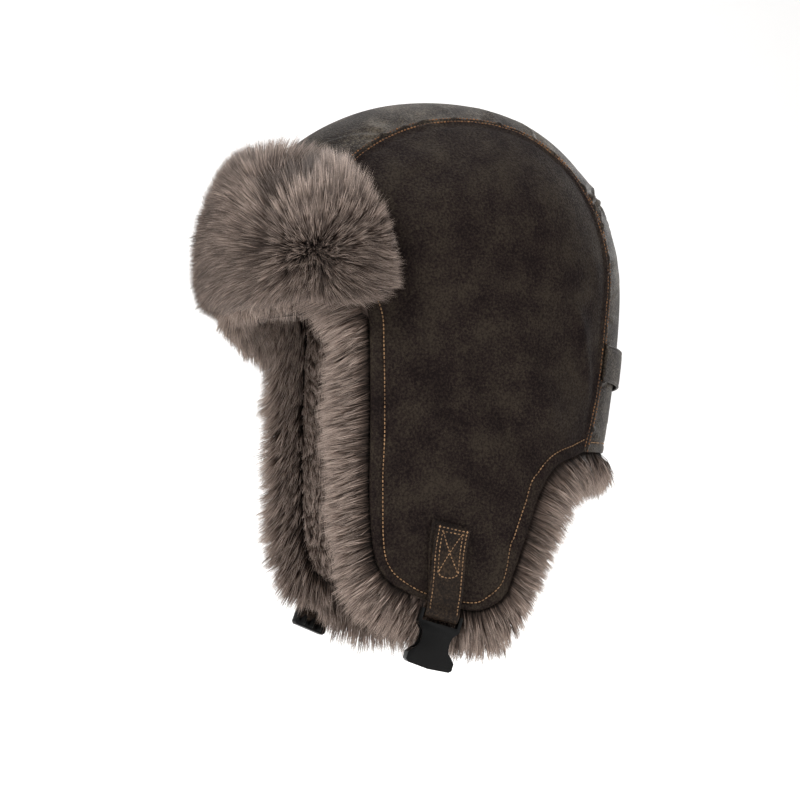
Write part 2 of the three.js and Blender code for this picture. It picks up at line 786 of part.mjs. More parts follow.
// Opens the strap's slot in a buckle half and puts a thin bar across it
function withBar(body, depth, slotFrom) {
  const reach = SLOT_HALF + BUCKLE_ARM / 2;
  return body.subtract(block(SLOT_HALF, slotFrom, SLOT_END, 2 * depth))
    .add(block(reach, -BAR / 2, BAR / 2, BAR));
}

// The hollow half: a flat box with a waist that opens into it at both sides
function socketBody() {
  const half = SOCKET_WIDTH / 2;
  const start = -BAR / 2;
  const end = start + SOCKET_LENGTH;
  const outline = polygon(bothSides(SOCKET_OUTLINE.map((row) => [
    half * row.across, start + SOCKET_LENGTH * row.along])));
  const full = start + SOCKET_LENGTH * SOCKET_FULL;
  const profile = bothSides([
    [SOCKET_BAR_DEPTH / 2, 2 * start], [SOCKET_BAR_DEPTH / 2, SLOT_END],
    [SOCKET_DEPTH / 2, full], [SOCKET_DEPTH / 2, 2 * end]]);
  const sides = mapped(stripped(extruded(polygon(profile), 4 * half, 1)),
    (o, d, u) => new THREE.Vector3(u, d, o));
  const hollow = SOCKET_DEPTH - 2 * SOCKET_WALL;
  const throat = start + SOCKET_LENGTH * SOCKET_THROAT;
  return withBar(toManifold(extruded(outline, SOCKET_DEPTH, 1))
    .intersect(toManifold(outwardFacing(sides))), SOCKET_DEPTH, -BAR)
    .subtract(block(BAR_HALF - SOCKET_WALL, SLOT_END + SOCKET_WALL, throat + 1, hollow))
    .subtract(block(half - SOCKET_WALL, throat, 2 * end, hollow));
}

// The half with two barbed prongs and a guide between them. Its strap's bar lies
// between the prongs' root and the bar at its end.
function prongBody() {
  const root = SLOT_END + BUCKLE_ARM;
  const end = SLOT_END + PRONG_END_BAR;
  const base = polygon(bothSides([
    [BAR_HALF - PRONG_END_BAR / 2, -end], [BAR_HALF, PRONG_END_BAR / 2 - end],
    [BAR_HALF, root - BUCKLE_ARM / 2], [BAR_HALF - BUCKLE_ARM / 2, root]]));
  let body = withBar(toManifold(extruded(base, PRONG_DEPTH, 1)), PRONG_DEPTH, -SLOT_END);
  const outer = BAR_HALF - BUCKLE_ARM;
  for (const side of [-1, 1]) {
    const prong = polygon(PRONG_OUTLINE.map((row) => [
      side * (outer - PRONG_WIDTH * row.inset), root + PRONG_LENGTH * row.along]));
    body = body.add(toManifold(extruded(prong, PRONG_DEPTH, 1)));
  }
  const half = GUIDE_WIDTH / 2;
  const guide = polygon(bothSides(GUIDE_OUTLINE.map((row) => [
    half * row.across, root + PRONG_LENGTH * row.along])));
  const slotTop = root + PRONG_LENGTH * GUIDE_OUTLINE[1].along;
  return body.add(toManifold(extruded(guide, PRONG_DEPTH - 1, 1)))
    .subtract(block(half - GUIDE_RIM, root, slotTop, 2 * PRONG_DEPTH));
}

// What a strap and its buckle half press out of the fur, from one length down the
// strap to another and back by the given depth
function pressed(place, from, to, back) {
  const half = SOCKET_WIDTH / 2 + BUCKLE_ROOM;
  const steps = 8;
  const near = [];
  const far = [];
  for (let i = 0; i <= steps; i += 1) {
    const d = THREE.MathUtils.lerp(from, to, i / steps);
    near.push([d, -back]);
    far.unshift([d, 2 * FRINGE_DEPTH]);
  }
  const cut = stripped(extruded(polygon([...near, ...far]), 2 * half, 1));
  return toManifold(outwardFacing(mapped(cut, (d, o, u) => place(u, d, o))));
}

const leather = { color: 0x2e2824, roughness: 0.55, metalness: 0 };
const fur = { color: 0x7a6b63, roughness: 0.95, metalness: 0 };
const plastic = { color: 0x1b1b1c, roughness: 0.4, metalness: 0 };

const hat = new THREE.Group();

function add(name, geometry, finish) {
  const flat = geometry.index ? geometry.toNonIndexed() : geometry;
  flat.computeVertexNormals();
  const mesh = new THREE.Mesh(flat, new THREE.MeshStandardMaterial(finish));
  mesh.name = name;
  hat.add(mesh);
}

const panel = sidePanel();
add('left_side_panel', panel, leather);
add('right_side_panel', mirrored(panel), leather);
add('centre_strip', centreStrip(), leather);
add('back_loop', backLoop(), leather);
add('brim_flap', brimLeather(), leather);
add('brim_fur', brimFur(), fur);

const lining = toManifold(sideLining());
const onSocketStrap = strapPath(SOCKET_STRAP_LENGTH, SOCKET_STRAP_BENDS, 0, 0);
const onProngStrap = strapPath(
  PRONG_STRAP_LENGTH, PRONG_STRAP_BENDS, PRONG_STANDOFF, PRONG_TWIST);
const underStrap = STRAP_CLEARANCE + SEAM_GAP;
const socketEnd = SOCKET_STRAP_LENGTH + SOCKET_LENGTH;
const leftLining = lining
  .subtract(pressed(onSocketStrap, 0, socketEnd, underStrap))
  .subtract(pressed(onSocketStrap, SOCKET_STRAP_LENGTH - 2 * BAR_SLOT, socketEnd,
    SOCKET_DEPTH / 2 - STRAP_LAYER + BUCKLE_ROOM));
const prongTips = PRONG_STRAP_LENGTH - SLOT_END - BUCKLE_ARM - PRONG_LENGTH - BUCKLE_ROOM;
const prongEnd = PRONG_STRAP_LENGTH + SLOT_END + PRONG_END_BAR + BUCKLE_ROOM;
const rightLining = lining
  .subtract(pressed(onProngStrap, 0, prongEnd, underStrap))
  .subtract(pressed(onProngStrap, prongTips, prongEnd,
    PRONG_BAR_BACK + BAR / 2 + BAR_EYE + BUCKLE_ROOM));
add('left_lining', fromManifold(leftLining), fur);
add('right_lining', mirrored(fromManifold(rightLining)), fur);
add('centre_lining', centreLining(), fur);

add('left_strap', strapBody(onSocketStrap, SOCKET_STRAP_LENGTH, 0), leather);
add('right_strap', mirrored(
  strapBody(onProngStrap, PRONG_STRAP_LENGTH, PRONG_BAR_BACK)), leather);
add('buckle_socket', onBar(
  socketBody(), onSocketStrap, SOCKET_STRAP_LENGTH, 0, 1), plastic);
add('buckle_prongs', mirrored(onBar(
  prongBody(), onProngStrap, PRONG_STRAP_LENGTH, PRONG_BAR_BACK, -1)), plastic);

export default hat;
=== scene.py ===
# %% [markdown]
# # An aviator hat of leather and fur
# A trapper or aviator hat is a leather crown with long ear flaps, lined with deep
# fur. The fur shows as a flap folded up over the brow and as a fringe round every
# free edge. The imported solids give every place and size. This script dresses them:
# smooth leather with seams and creases, rows of stitches, soft straps, a bevelled
# buckle, and fur made of many single hairs.

# %% Load the frame
import json

import bpy
import numpy as np
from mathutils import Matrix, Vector

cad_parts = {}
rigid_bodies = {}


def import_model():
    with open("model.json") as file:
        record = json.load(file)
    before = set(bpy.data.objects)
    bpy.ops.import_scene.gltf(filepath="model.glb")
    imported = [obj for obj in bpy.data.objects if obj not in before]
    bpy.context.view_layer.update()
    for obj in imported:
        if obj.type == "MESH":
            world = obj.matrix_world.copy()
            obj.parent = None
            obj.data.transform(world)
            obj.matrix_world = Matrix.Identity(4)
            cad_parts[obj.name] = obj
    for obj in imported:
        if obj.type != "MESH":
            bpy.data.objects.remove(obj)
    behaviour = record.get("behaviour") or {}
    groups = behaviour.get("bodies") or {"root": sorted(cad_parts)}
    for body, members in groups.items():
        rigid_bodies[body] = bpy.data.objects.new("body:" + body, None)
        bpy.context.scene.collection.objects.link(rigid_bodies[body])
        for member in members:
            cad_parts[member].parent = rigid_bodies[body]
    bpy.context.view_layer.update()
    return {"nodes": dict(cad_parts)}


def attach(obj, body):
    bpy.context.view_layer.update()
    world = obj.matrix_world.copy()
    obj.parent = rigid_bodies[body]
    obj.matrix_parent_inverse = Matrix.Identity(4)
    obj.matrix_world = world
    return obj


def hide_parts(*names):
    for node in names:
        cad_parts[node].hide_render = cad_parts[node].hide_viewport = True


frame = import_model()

print("solids:", sorted(frame["nodes"]))

# %% [markdown]
# ## The hat's own surface
# The crown is an ellipsoid with a profile that a few rows of a table correct, and
# the flaps hang from it. Every leather piece and every hair starts on this one
# surface, so it is written once, as functions of whole arrays. They work in
# millimetres, as a pattern cutter does, and only the finished mesh is in metres.

# %% Sizes of the hat in millimetres
METRE = 1000.0
CROWN_HALF_WIDTH = 90.0
CROWN_FRONT = 128.0
CROWN_BACK = 113.0
CROWN_HEIGHT = 118.0
CROWN_AXIS_BEHIND = 6.0
STRIP_HALF_WIDTH = 50.0
LEATHER = 1.6
SEAM_GAP = 0.3
NAPE_DROP = 98.0
NAPE_TUCK = 13.0
FLAP_DROP = 188.0
FLAP_REACH = 67.5
FLAP_TAPER = 7.0
FLAP_FLATTENING = 20.0
FRINGE = 28.0
FRINGE_DEPTH = 21.0
BROW_FRINGE = 35.0
NAPE_FRINGE = 26.0
HEM_LEAN = 0.4
PANEL_MIDDLE = np.array([8.0, 20.0])
BACK_TURN = 180.0
HEM_TURN = 270.0

PROFILE_TURN = [0, 15, 35, 60, 90, 120, 150, 180]
PROFILE_REACH = [1.0, 1.022, 1.052, 1.027, 1.0, 1.013, 1.011, 1.0]
TAPER_TURN = [0, 30, 60, 90, 120, 150, 180, 240, 270]
TAPER_WIDTH = [1.14, 1.1, 1.04, 1.0, 1.04, 1.16, 1.235, 1.27, 1.34]

# The free edge of a flap from the brow to the nape: how far forward and down as
# shares of the flap's size, then how far the fur stands out forward and down.
FLAP_EDGE = [
    (1.22, 0.011, 0.27, 0.89),
    (1.09, 0.048, 0.57, 0.89),
    (1.01, 0.117, 0.77, 0.75),
    (1.0, 0.239, 0.89, 0.46),
    (1.0, 0.479, 0.905, 0.3),
    (1.0, 0.665, 0.88, 0.3),
    (0.96, 0.824, 0.84, 0.41),
    (0.86, 0.902, 0.75, 0.69),
    (0.65, 0.949, 0.54, 0.89),
    (0.39, 0.979, 0.32, 1.0),
    (0.14, 1.0, 0.07, 1.07),
    (-0.01, 0.992, -0.14, 1.08),
    (-0.16, 0.957, -0.33, 0.9),
    (-0.25, 0.883, -0.66, 0.59),
    (-0.38, 0.761, -0.78, 0.55),
    (-0.5, 0.649, -0.85, 0.68),
]
NAPE_CORNER = [(0.33, 0.63, -0.73, 0.86), (0.77, 0.88, -0.48, 0.91)]


# %% Curves through tables
WANDER_VALUES = 997


def column(places, values):
    """A smooth curve through the values of a table, held at both ends."""
    places = np.asarray(places, float)
    values = np.asarray(values, float)

    def curve(place):
        place = np.clip(np.asarray(place, float), places[0], places[-1])
        high = np.clip(np.searchsorted(places, place, side="right"), 1, len(places) - 1)
        low = high - 1
        before = np.where(low > 0, low - 1, high)
        after = np.where(high < len(places) - 1, high + 1, low)
        step = places[high] - places[low]
        part = (place - places[low]) / step
        lead = 0.5 * step / (places[low] - places[before])
        follow = 0.5 * step / (places[after] - places[high])
        square = part**2
        cube = part**3
        return (
            values[before] * (-lead * cube + 2 * lead * square - lead * part)
            + values[low]
            * ((1 + lead) * cube + (-1.5 - 2 * lead) * square + (lead - 0.5) * part + 1)
            + values[high] * ((-1 - follow) * cube + (1.5 + follow) * square + 0.5 * part)
            + values[after] * (follow * cube - follow * square)
        )

    return curve


def spline(rows, at):
    """Points of a smooth curve through rows of points, at from 0 to 1."""
    rows = np.asarray(rows, float)
    place = np.asarray(at, float) * (len(rows) - 1)
    low = np.clip(np.floor(place).astype(int), 0, len(rows) - 2)
    part = (place - low)[:, None]
    start, end = rows[low], rows[low + 1]
    enter = (end - rows[np.maximum(low - 1, 0)]) / 2
    leave = (rows[np.minimum(low + 2, len(rows) - 1)] - start) / 2
    return (
        (2 * start - 2 * end + enter + leave) * part**3
        + (3 * end - 3 * start - 2 * enter - leave) * part**2
        + enter * part
        + start
    )


def smoothstep(value, low, high):
    part = np.clip((np.asarray(value, float) - low) / (high - low), 0, 1)
    return part * part * (3 - 2 * part)


def wander(place, step, seed):
    """Smooth random values from -1 to 1 that change over the given step."""
    table = np.random.default_rng(seed).uniform(-1, 1, WANDER_VALUES)
    place = np.asarray(place, float) / step
    low = np.floor(place).astype(int)
    part = smoothstep(place - low, 0, 1)
    after = table[(low + 1) % WANDER_VALUES]
    return table[low % WANDER_VALUES] * (1 - part) + after * part


def waves(place, parts):
    """Random waves on top of each other, each with its height, its step and its seed."""
    return sum(height * wander(place, step, seed) for height, step, seed in parts)


def rounded(value, power):
    """A power that keeps the sign; below 1 it squares off a circle."""
    return np.sign(value) * np.abs(value) ** power


# %% The outer face of the leather
profile_reach = column(PROFILE_TURN, PROFILE_REACH)
strip_taper = column(TAPER_TURN, TAPER_WIDTH)


def profile_radius(angle):
    length = np.where(np.cos(angle) > 0, CROWN_FRONT, CROWN_BACK)
    ellipse = 1 / np.hypot(np.cos(angle) / length, np.sin(angle) / CROWN_HEIGHT)
    return ellipse * profile_reach(np.degrees(angle))


def half_length(z, towards_back):
    below = np.maximum(0, -z)
    back = CROWN_BACK - NAPE_TUCK * (below / NAPE_DROP) ** 1.6
    front = CROWN_FRONT + FLAP_FLATTENING * smoothstep(below, 0, NAPE_DROP)
    return np.where(towards_back, back, front)


def half_width(z):
    return CROWN_HALF_WIDTH - FLAP_TAPER * np.maximum(0, -z) / FLAP_DROP


def profile_share(y, z):
    """0 on the crown's axis, 1 on its middle profile."""
    back = y - CROWN_AXIS_BEHIND
    below = np.abs(back) / half_length(z, back > 0)
    above = np.hypot(back, z) / profile_radius(np.arctan2(np.maximum(z, 0), -back))
    return np.where(z < 0, below, above)


def bulk(x, y, z):
    """Below 1 inside the hat's outer face, 1 on it."""
    return profile_share(y, z) ** 2 + (x / half_width(z)) ** 2


def unit(vectors):
    return vectors / np.maximum(np.linalg.norm(vectors, axis=-1, keepdims=True), 1e-9)


def outward(points):
    x, y, z = np.moveaxis(points, -1, 0)
    step = 0.5
    return unit(
        np.stack(
            [
                bulk(x + step, y, z) - bulk(x - step, y, z),
                bulk(x, y + step, z) - bulk(x, y - step, z),
                bulk(x, y, z + step) - bulk(x, y, z - step),
            ],
            -1,
        )
    )


def lifted(points, height):
    """The points moved out from the face by one height or by a height for each."""
    return points + outward(points) * np.asarray(height, float)[..., None]


def side_point(y, z):
    """Point of the outer face on the wearer's left."""
    share = np.minimum(profile_share(y, z), 0.999)
    return np.stack([half_width(z) * np.sqrt(1 - share**2), y, z], -1)


def strip_point(turn, x):
    """Point of the outer face over the middle: turn 0 is the brow, 180 the back, 270 the hem."""
    turn, x = np.broadcast_arrays(np.asarray(turn, float), np.asarray(x, float))
    z = np.where(turn > BACK_TURN, -NAPE_DROP * (turn - BACK_TURN) / (HEM_TURN - BACK_TURN), 0)
    level = np.sqrt(1 - (x / half_width(z)) ** 2)
    angle = np.radians(np.minimum(turn, BACK_TURN))
    radius = profile_radius(angle) * level
    over = np.stack([x, CROWN_AXIS_BEHIND - radius * np.cos(angle), radius * np.sin(angle)], -1)
    down = np.stack([x, CROWN_AXIS_BEHIND + level * half_length(z, True), z], -1)
    return np.where((turn > BACK_TURN)[..., None], down, over)


def seam_x(turn):
    return STRIP_HALF_WIDTH * strip_taper(turn)


print("top of the crown:", strip_point(90, 0).round(1), "mm")


# %% [markdown]
# ## The outline of a side panel
# One side of the hat is cut from a single piece of leather: it runs from the seam
# beside the centre strip down into the ear flap. Its outline is drawn flat, seen
# from the side, and each point of the free edge carries the way in which its fur
# stands out.

# %% Outline of a side panel
def side_outline(inset, free_steps, seam_steps):
    """Edge points (y, z), the fur's reach from each, and 1 on the seam or 0 on the free edge."""
    brow = strip_point(0, seam_x(0) + inset)
    hem = strip_point(HEM_TURN, seam_x(HEM_TURN) + inset)
    flap = [(-FLAP_REACH * f, -FLAP_DROP * d, out, down) for f, d, out, down in FLAP_EDGE]
    foot = flap[-1]
    corner = [
        (foot[0] + (hem[1] - foot[0]) * along, foot[1] + (hem[2] - foot[1]) * above, out, down)
        for along, above, out, down in NAPE_CORNER
    ]
    rows = np.array(
        [
            (brow[1], brow[2], 0, BROW_FRINGE / FRINGE),
            *flap,
            *corner,
            (hem[1], hem[2], HEM_LEAN, NAPE_FRINGE / FRINGE),
        ]
    )
    at = np.linspace(0, 1, free_steps + 1)
    edge = spline(rows[:, :2], at)
    reach = spline(-FRINGE * rows[:, 2:], at)
    turn = HEM_TURN * (1 - np.arange(1, seam_steps) / seam_steps)
    seam = strip_point(turn, seam_x(turn) + inset)[:, 1:]
    on_seam = np.r_[np.zeros(len(edge)), np.ones(len(seam))]
    return np.vstack([edge, seam]), np.vstack([reach, np.zeros_like(seam)]), on_seam


def run_length(points):
    """How far along a row of points each one lies."""
    steps = np.linalg.norm(np.diff(points, axis=0), axis=-1)
    return np.r_[0, np.cumsum(steps)]


FREE_STEPS = 300
SEAM_STEPS = 220
edge = side_outline(SEAM_GAP, FREE_STEPS, SEAM_STEPS)[0]
print("free edge of a flap:", round(run_length(edge[: FREE_STEPS + 1])[-1]), "mm")

# %% [markdown]
# ## From points to meshes
# A closed skin can be made of rings that shrink to one point at each end, or of
# loops that are stacked and closed with flat ends. Writing the faces as arrays
# keeps large grids quick. The sign of the volume tells whether the faces point
# outwards, so no piece comes out inside out.


# %% Closed skins
def new_object(name, data):
    """An object in the scene for a mesh, a lamp or a camera."""
    made = bpy.data.objects.new(name, data)
    bpy.context.scene.collection.objects.link(made)
    return made


def mesh_object(name, points, faces, materials):
    """A smooth mesh object in metres from points in millimetres."""
    mesh = bpy.data.meshes.new(name)
    mesh.from_pydata((points / METRE).tolist(), [], faces.tolist())
    for material in materials:
        mesh.materials.append(material)
    mesh.shade_smooth()
    mesh.validate()
    return new_object(name, mesh)


def facing_out(points, faces):
    a, b, c = (points[faces[:, k]] for k in range(3))
    volume = np.einsum("ij,ij->", a, np.cross(b, c))
    return faces if volume > 0 else faces[:, ::-1]


def band_faces(rows, count, first):
    """Triangles between rows of points that close on themselves."""
    row, i = np.meshgrid(np.arange(rows - 1), np.arange(count), indexing="ij")
    near = first + row * count + i
    near_next = first + row * count + (i + 1) % count
    far, far_next = near + count, near_next + count
    one = np.stack([near, far, far_next], -1).reshape(-1, 3)
    two = np.stack([near, far_next, near_next], -1).reshape(-1, 3)
    return np.vstack([one, two])


def ring_skin(name, first, rings, last, materials):
    rows, count = rings.shape[:2]
    points = np.vstack([first[None], rings.reshape(-1, 3), last[None]])
    i = np.arange(count)
    following = (i + 1) % count
    outer = 1 + (rows - 1) * count
    end = len(points) - 1
    start_fan = np.stack([np.zeros(count, int), 1 + i, 1 + following], -1)
    end_fan = np.stack([outer + i, np.full(count, end), outer + following], -1)
    faces = np.vstack([start_fan, band_faces(rows, count, 1), end_fan])
    return mesh_object(name, points, facing_out(points, faces), materials)


def loop_skin(name, loops, materials):
    """A closed skin through loops; each end is a fan round the loop's middle."""
    rows = len(loops)
    rings = loops.reshape(rows, -1, 3)
    return ring_skin(name, rings[0].mean(0), rings, rings[-1].mean(0), materials)


def sheet_skin(name, top, under, material):
    """A closed sheet from the grids of its two faces, which meet at their side edges."""
    return loop_skin(name, np.concatenate([top, under[:, ::-1][:, 1:-1]], 1), [material])


def mirrored(piece, name):
    """The same piece for the wearer's right, with its faces turned outwards again."""
    mesh = piece.data.copy()
    mesh.name = name
    across = np.empty(len(mesh.vertices) * 3, np.float32)
    mesh.vertices.foreach_get("co", across)
    across = across.reshape(-1, 3) * (-1, 1, 1)
    mesh.vertices.foreach_set("co", across.ravel())
    mesh.flip_normals()
    mesh.update()
    return new_object(name, mesh)


def placed(piece, node):
    """Fixes a finished piece to the hat in place of a solid."""
    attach(piece, "root")
    if node:
        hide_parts(node)
    mesh = piece.data
    mesh.calc_loop_triangles()
    print(piece.name, len(mesh.loop_triangles), "triangles")
    return piece


# %% [markdown]
# ## Finishes
# The leather is a dark brown with a cloudy, slightly rubbed look and a fine grain.
# The thread is a warm tan, the buckle a dark moulded plastic. The fur's colour
# runs from a dark root to a pale tip, so each hair carries a map that tells how far
# along it a point lies. The grain and the clouds of rubbed colour are the same in
# three leathers, so they are one node group.


# %% Helpers for node trees
def socket(sockets, key):
    """The socket in use with this name or number."""
    if isinstance(key, int):
        return sockets[key]
    return next(s for s in sockets if s.name == key and s.enabled)


def add(tree, kind, inputs=None, **settings):
    """A new node. Its inputs take plain values or the outputs of other nodes."""
    made = tree.nodes.new(kind)
    for name, value in settings.items():
        setattr(made, name, value)
    for key, value in (inputs or {}).items():
        target = socket(made.inputs, key)
        if isinstance(value, bpy.types.NodeSocket):
            tree.links.new(value, target)
        else:
            target.default_value = value
    return made


def out(made, key=0):
    """An output in use of a node."""
    if isinstance(key, int):
        return [s for s in made.outputs if s.enabled][key]
    return socket(made.outputs, key)


def colour(red, green, blue):
    """A colour given as 0 to 255, as Blender's linear values."""
    share = np.array([red, green, blue]) / 255
    linear = np.where(share <= 0.04045, share / 12.92, ((share + 0.055) / 1.055) ** 2.4)
    return (*linear.tolist(), 1.0)


def ramp(tree, factor, stops):
    """A colour ramp with the given places and colours."""
    made = add(tree, "ShaderNodeValToRGB", {"Fac": factor})
    elements = made.color_ramp.elements
    while len(elements) < len(stops):
        elements.new(0.5)
    for element, (place, shade) in zip(elements, stops):
        element.position = place
        element.color = shade
    return out(made, "Color")


def maths(tree, operation, first, second, third=None):
    inputs = {0: first, 1: second} if third is None else {0: first, 1: second, 2: third}
    return out(add(tree, "ShaderNodeMath", inputs, operation=operation))


def noise(tree, scale, detail, roughness=0.5):
    """Noise in the object's own space."""
    place = out(add(tree, "ShaderNodeTexCoord"), "Object")
    inputs = {"Vector": place, "Scale": scale, "Detail": detail, "Roughness": roughness}
    return out(add(tree, "ShaderNodeTexNoise", inputs), "Fac")


def new_material(name, roughness, gleam):
    """A material with its tree and its shader."""
    material = bpy.data.materials.new(name)
    material.use_nodes = True
    tree = material.node_tree
    shader = tree.nodes["Principled BSDF"]
    shader.inputs["Roughness"].default_value = roughness
    shader.inputs["Specular IOR Level"].default_value = gleam
    return material, tree, shader


def raise_surface(tree, shader, height, strength, distance):
    """Bump from a height, of the given depth in metres."""
    inputs = {"Height": height, "Strength": strength, "Distance": distance}
    tree.links.new(out(add(tree, "ShaderNodeBump", inputs)), shader.inputs["Normal"])


# %% Grain of leather, as a group
PORES_PER_METRE = 760.0


def leather_grain_group():
    """Fine pebbled grain and cloudy colour of rubbed leather."""
    group = bpy.data.node_groups.new("leather_grain", "ShaderNodeTree")
    face = group.interface
    for name, value in (("Grain Size", 1000.0), ("Cloud Size", 46.0)):
        face.new_socket(name, in_out="INPUT", socket_type="NodeSocketFloat").default_value = value
    for name in ("Cloud", "Pores", "Height"):
        face.new_socket(name, in_out="OUTPUT", socket_type="NodeSocketFloat")
    given = group.nodes.new("NodeGroupInput")
    cloud = noise(group, given.outputs["Cloud Size"], 5.0, 0.55)
    pores = noise(group, PORES_PER_METRE, 3.0, 0.75)
    place = out(add(group, "ShaderNodeTexCoord"), "Object")
    cells = add(
        group,
        "ShaderNodeTexVoronoi",
        {"Vector": place, "Scale": given.outputs["Grain Size"], "Randomness": 1.0},
        feature="SMOOTH_F1",
    )
    pebbles = maths(group, "MULTIPLY", out(cells, "Distance"), -0.8)
    height = maths(group, "ADD", pebbles, pores)
    result = group.nodes.new("NodeGroupOutput")
    for name, value in (("Cloud", cloud), ("Pores", pores), ("Height", height)):
        group.links.new(value, result.inputs[name])
    return group


LEATHER_GRAIN = leather_grain_group()

# %% Leather, thread and plastic
SHADE_PLACES = (0.3, 0.45, 0.56, 0.72)
SPECKLE = 1.6
GRAIN_STRENGTH = 0.7
GRAIN_DEPTH = 0.0007


def leather_material(name, shades, roughness, gleam):
    """Shades run from the darkest brown through a reddish and an olive one to the rubbed one."""
    material, tree, shader = new_material(name, roughness, gleam)
    grain = add(tree, "ShaderNodeGroup", node_tree=LEATHER_GRAIN)
    speckle = maths(tree, "MULTIPLY_ADD", out(grain, "Pores"), SPECKLE, -SPECKLE / 2)
    cloud = maths(tree, "ADD", out(grain, "Cloud"), speckle)
    stops = list(zip(SHADE_PLACES, [colour(*shade) for shade in shades]))
    tree.links.new(ramp(tree, cloud, stops), shader.inputs["Base Color"])
    rubbed = {"Value": cloud, "From Min": 0.3, "From Max": 0.75}
    rubbed.update({"To Min": roughness + 0.08, "To Max": roughness - 0.06})
    tree.links.new(out(add(tree, "ShaderNodeMapRange", rubbed)), shader.inputs["Roughness"])
    raise_surface(tree, shader, out(grain, "Height"), GRAIN_STRENGTH, GRAIN_DEPTH)
    return material


PANEL_SHADES = [(20, 14, 13), (33, 25, 23), (35, 29, 24), (48, 41, 34)]
# The strip's browns are paler than the panel's: painted light, for the strip on top of the crown
# faces the top lamp, and in place of part of its sheen.
STRIP_SHADES_WITH_PAINTED_LIGHT = [(26, 21, 18), (42, 35, 31), (48, 42, 34), (76, 68, 58)]
STRAP_SHADES = [(18, 12, 9), (29, 21, 16), (35, 27, 20), (52, 40, 29)]
PANEL_LEATHER = leather_material("panel_leather", PANEL_SHADES, 0.68, 0.06)
STRIP_LEATHER = leather_material("strip_leather", STRIP_SHADES_WITH_PAINTED_LIGHT, 0.5, 0.11)
STRAP_LEATHER = leather_material("strap_leather", STRAP_SHADES, 0.55, 0.12)


def thread_material(name, dark, light):
    material, tree, shader = new_material(name, 0.75, 0.5)
    shade = ramp(tree, noise(tree, 240.0, 3.0), [(0.35, dark), (0.65, light)])
    tree.links.new(shade, shader.inputs["Base Color"])
    return material


SEAM_THREAD = thread_material("seam_thread", colour(58, 36, 20), colour(132, 88, 48))
HEM_THREAD = thread_material("hem_thread", colour(96, 70, 46), colour(158, 122, 86))


def plastic_material():
    material, tree, shader = new_material("buckle_plastic", 0.38, 0.13)
    haze = noise(tree, 900.0, 3.0)
    shade = ramp(tree, haze, [(0.3, colour(3, 3, 3)), (0.7, colour(7, 7, 7))])
    tree.links.new(shade, shader.inputs["Base Color"])
    gloss = add(tree, "ShaderNodeMapRange", {"Value": haze, "To Min": 0.3, "To Max": 0.46})
    tree.links.new(out(gloss), shader.inputs["Roughness"])
    raise_surface(tree, shader, haze, 0.15, 0.0002)
    return material


BUCKLE_PLASTIC = plastic_material()


# %% Fur, from root to tip
MIX_FIRST = 6
MIX_SECOND = 7
MIX_RESULT = 2


def fur_material(name, root, middle, tip):
    """Reads the hair's own map: U is how pale this hair is, V how far along it lies."""
    material, tree, shader = new_material(name, 0.6, 0.3)
    hair = add(tree, "ShaderNodeUVMap", uv_map="OFBake")
    parts = add(tree, "ShaderNodeSeparateXYZ", {0: out(hair)})
    along = ramp(tree, out(parts, "Y"), [(0.05, root), (0.45, middle), (0.8, tip)])
    tones = [(0.0, colour(108, 104, 102)), (0.5, colour(206, 203, 201)), (1.0, colour(255, 255, 255))]
    tone = ramp(tree, out(parts, "X"), tones)
    tinted = add(tree, "ShaderNodeMix", {"Factor": 1.0}, data_type="RGBA", blend_type="MULTIPLY")
    tree.links.new(along, tinted.inputs[MIX_FIRST])
    tree.links.new(tone, tinted.inputs[MIX_SECOND])
    tree.links.new(tinted.outputs[MIX_RESULT], shader.inputs["Base Color"])
    return material


HAIR = fur_material("fur_hair", colour(58, 47, 41), colour(132, 113, 102), colour(208, 188, 175))


# The undercoat's dark browns are painted shade: the deep fur's roots, where light does not reach.
def undercoat_material():
    material, tree, shader = new_material("fur_undercoat", 0.95, 0.5)
    fluff = noise(tree, 420.0, 6.0)
    shade = ramp(tree, fluff, [(0.3, colour(52, 43, 38)), (0.7, colour(98, 83, 75))])
    tree.links.new(shade, shader.inputs["Base Color"])
    raise_surface(tree, shader, fluff, 1.0, 0.002)
    return material


UNDERCOAT = undercoat_material()
print("materials:", [m.name for m in bpy.data.materials])

# %% [markdown]
# ## The side panels
# A panel of real leather is never quite even: it is turned in and stitched down at
# its free edge, which leaves a plump hem inside a groove, and it puckers where a
# seam gathers it. Rings of points run in from the edge, close together at the hem,
# and each is raised or sunk a little. A few long, soft folds run over the flap.

# %% Relief of the leather
HEM = 6.5
HEM_RISE = 0.55
HEM_GROOVE = 0.8
HEM_CREST = 3.2
HEM_PUCKERS = [(0.35, 11, 3), (0.2, 5, 4)]
PUCKER_AT = 9.0
PUCKER_REACH = 6.0
TOPSTITCH = 1.3
SEAM_RIDGE = 0.6
SEAM_GROOVE = 0.9
SEAM_DIP = 0.35
SEAM_GATHERS = [(0.65, 6.5, 5), (0.3, 3.3, 6)]
GATHER_SLANT = 0.7
GATHER_REACH = 7.0
BAND = 14.0

# How wide the hem is along the free edge, as a share of HEM.
HEM_PLACES = [0, 0.36, 0.44, 0.5, 0.58, 0.68, 0.8, 0.9, 1]
HEM_SHARES = [1.08, 1.15, 0.8, 0.5, 0.7, 1.12, 1.2, 1.1, 1.15]
hem_share = column(HEM_PLACES, HEM_SHARES)


def dent(distance, middle, width):
    return np.exp(-(((distance - middle) / width) ** 2))


def hem_relief(distance, along):
    """A plump turned hem inside a stitched groove."""
    plump = HEM_RISE * np.clip(1 - ((distance - HEM_CREST) / (HEM_CREST + 0.2)) ** 2, 0, 1)
    pucker = waves(along, HEM_PUCKERS) * dent(distance, PUCKER_AT, PUCKER_REACH)
    return plump - HEM_GROOVE * dent(distance, HEM, 0.8) + pucker


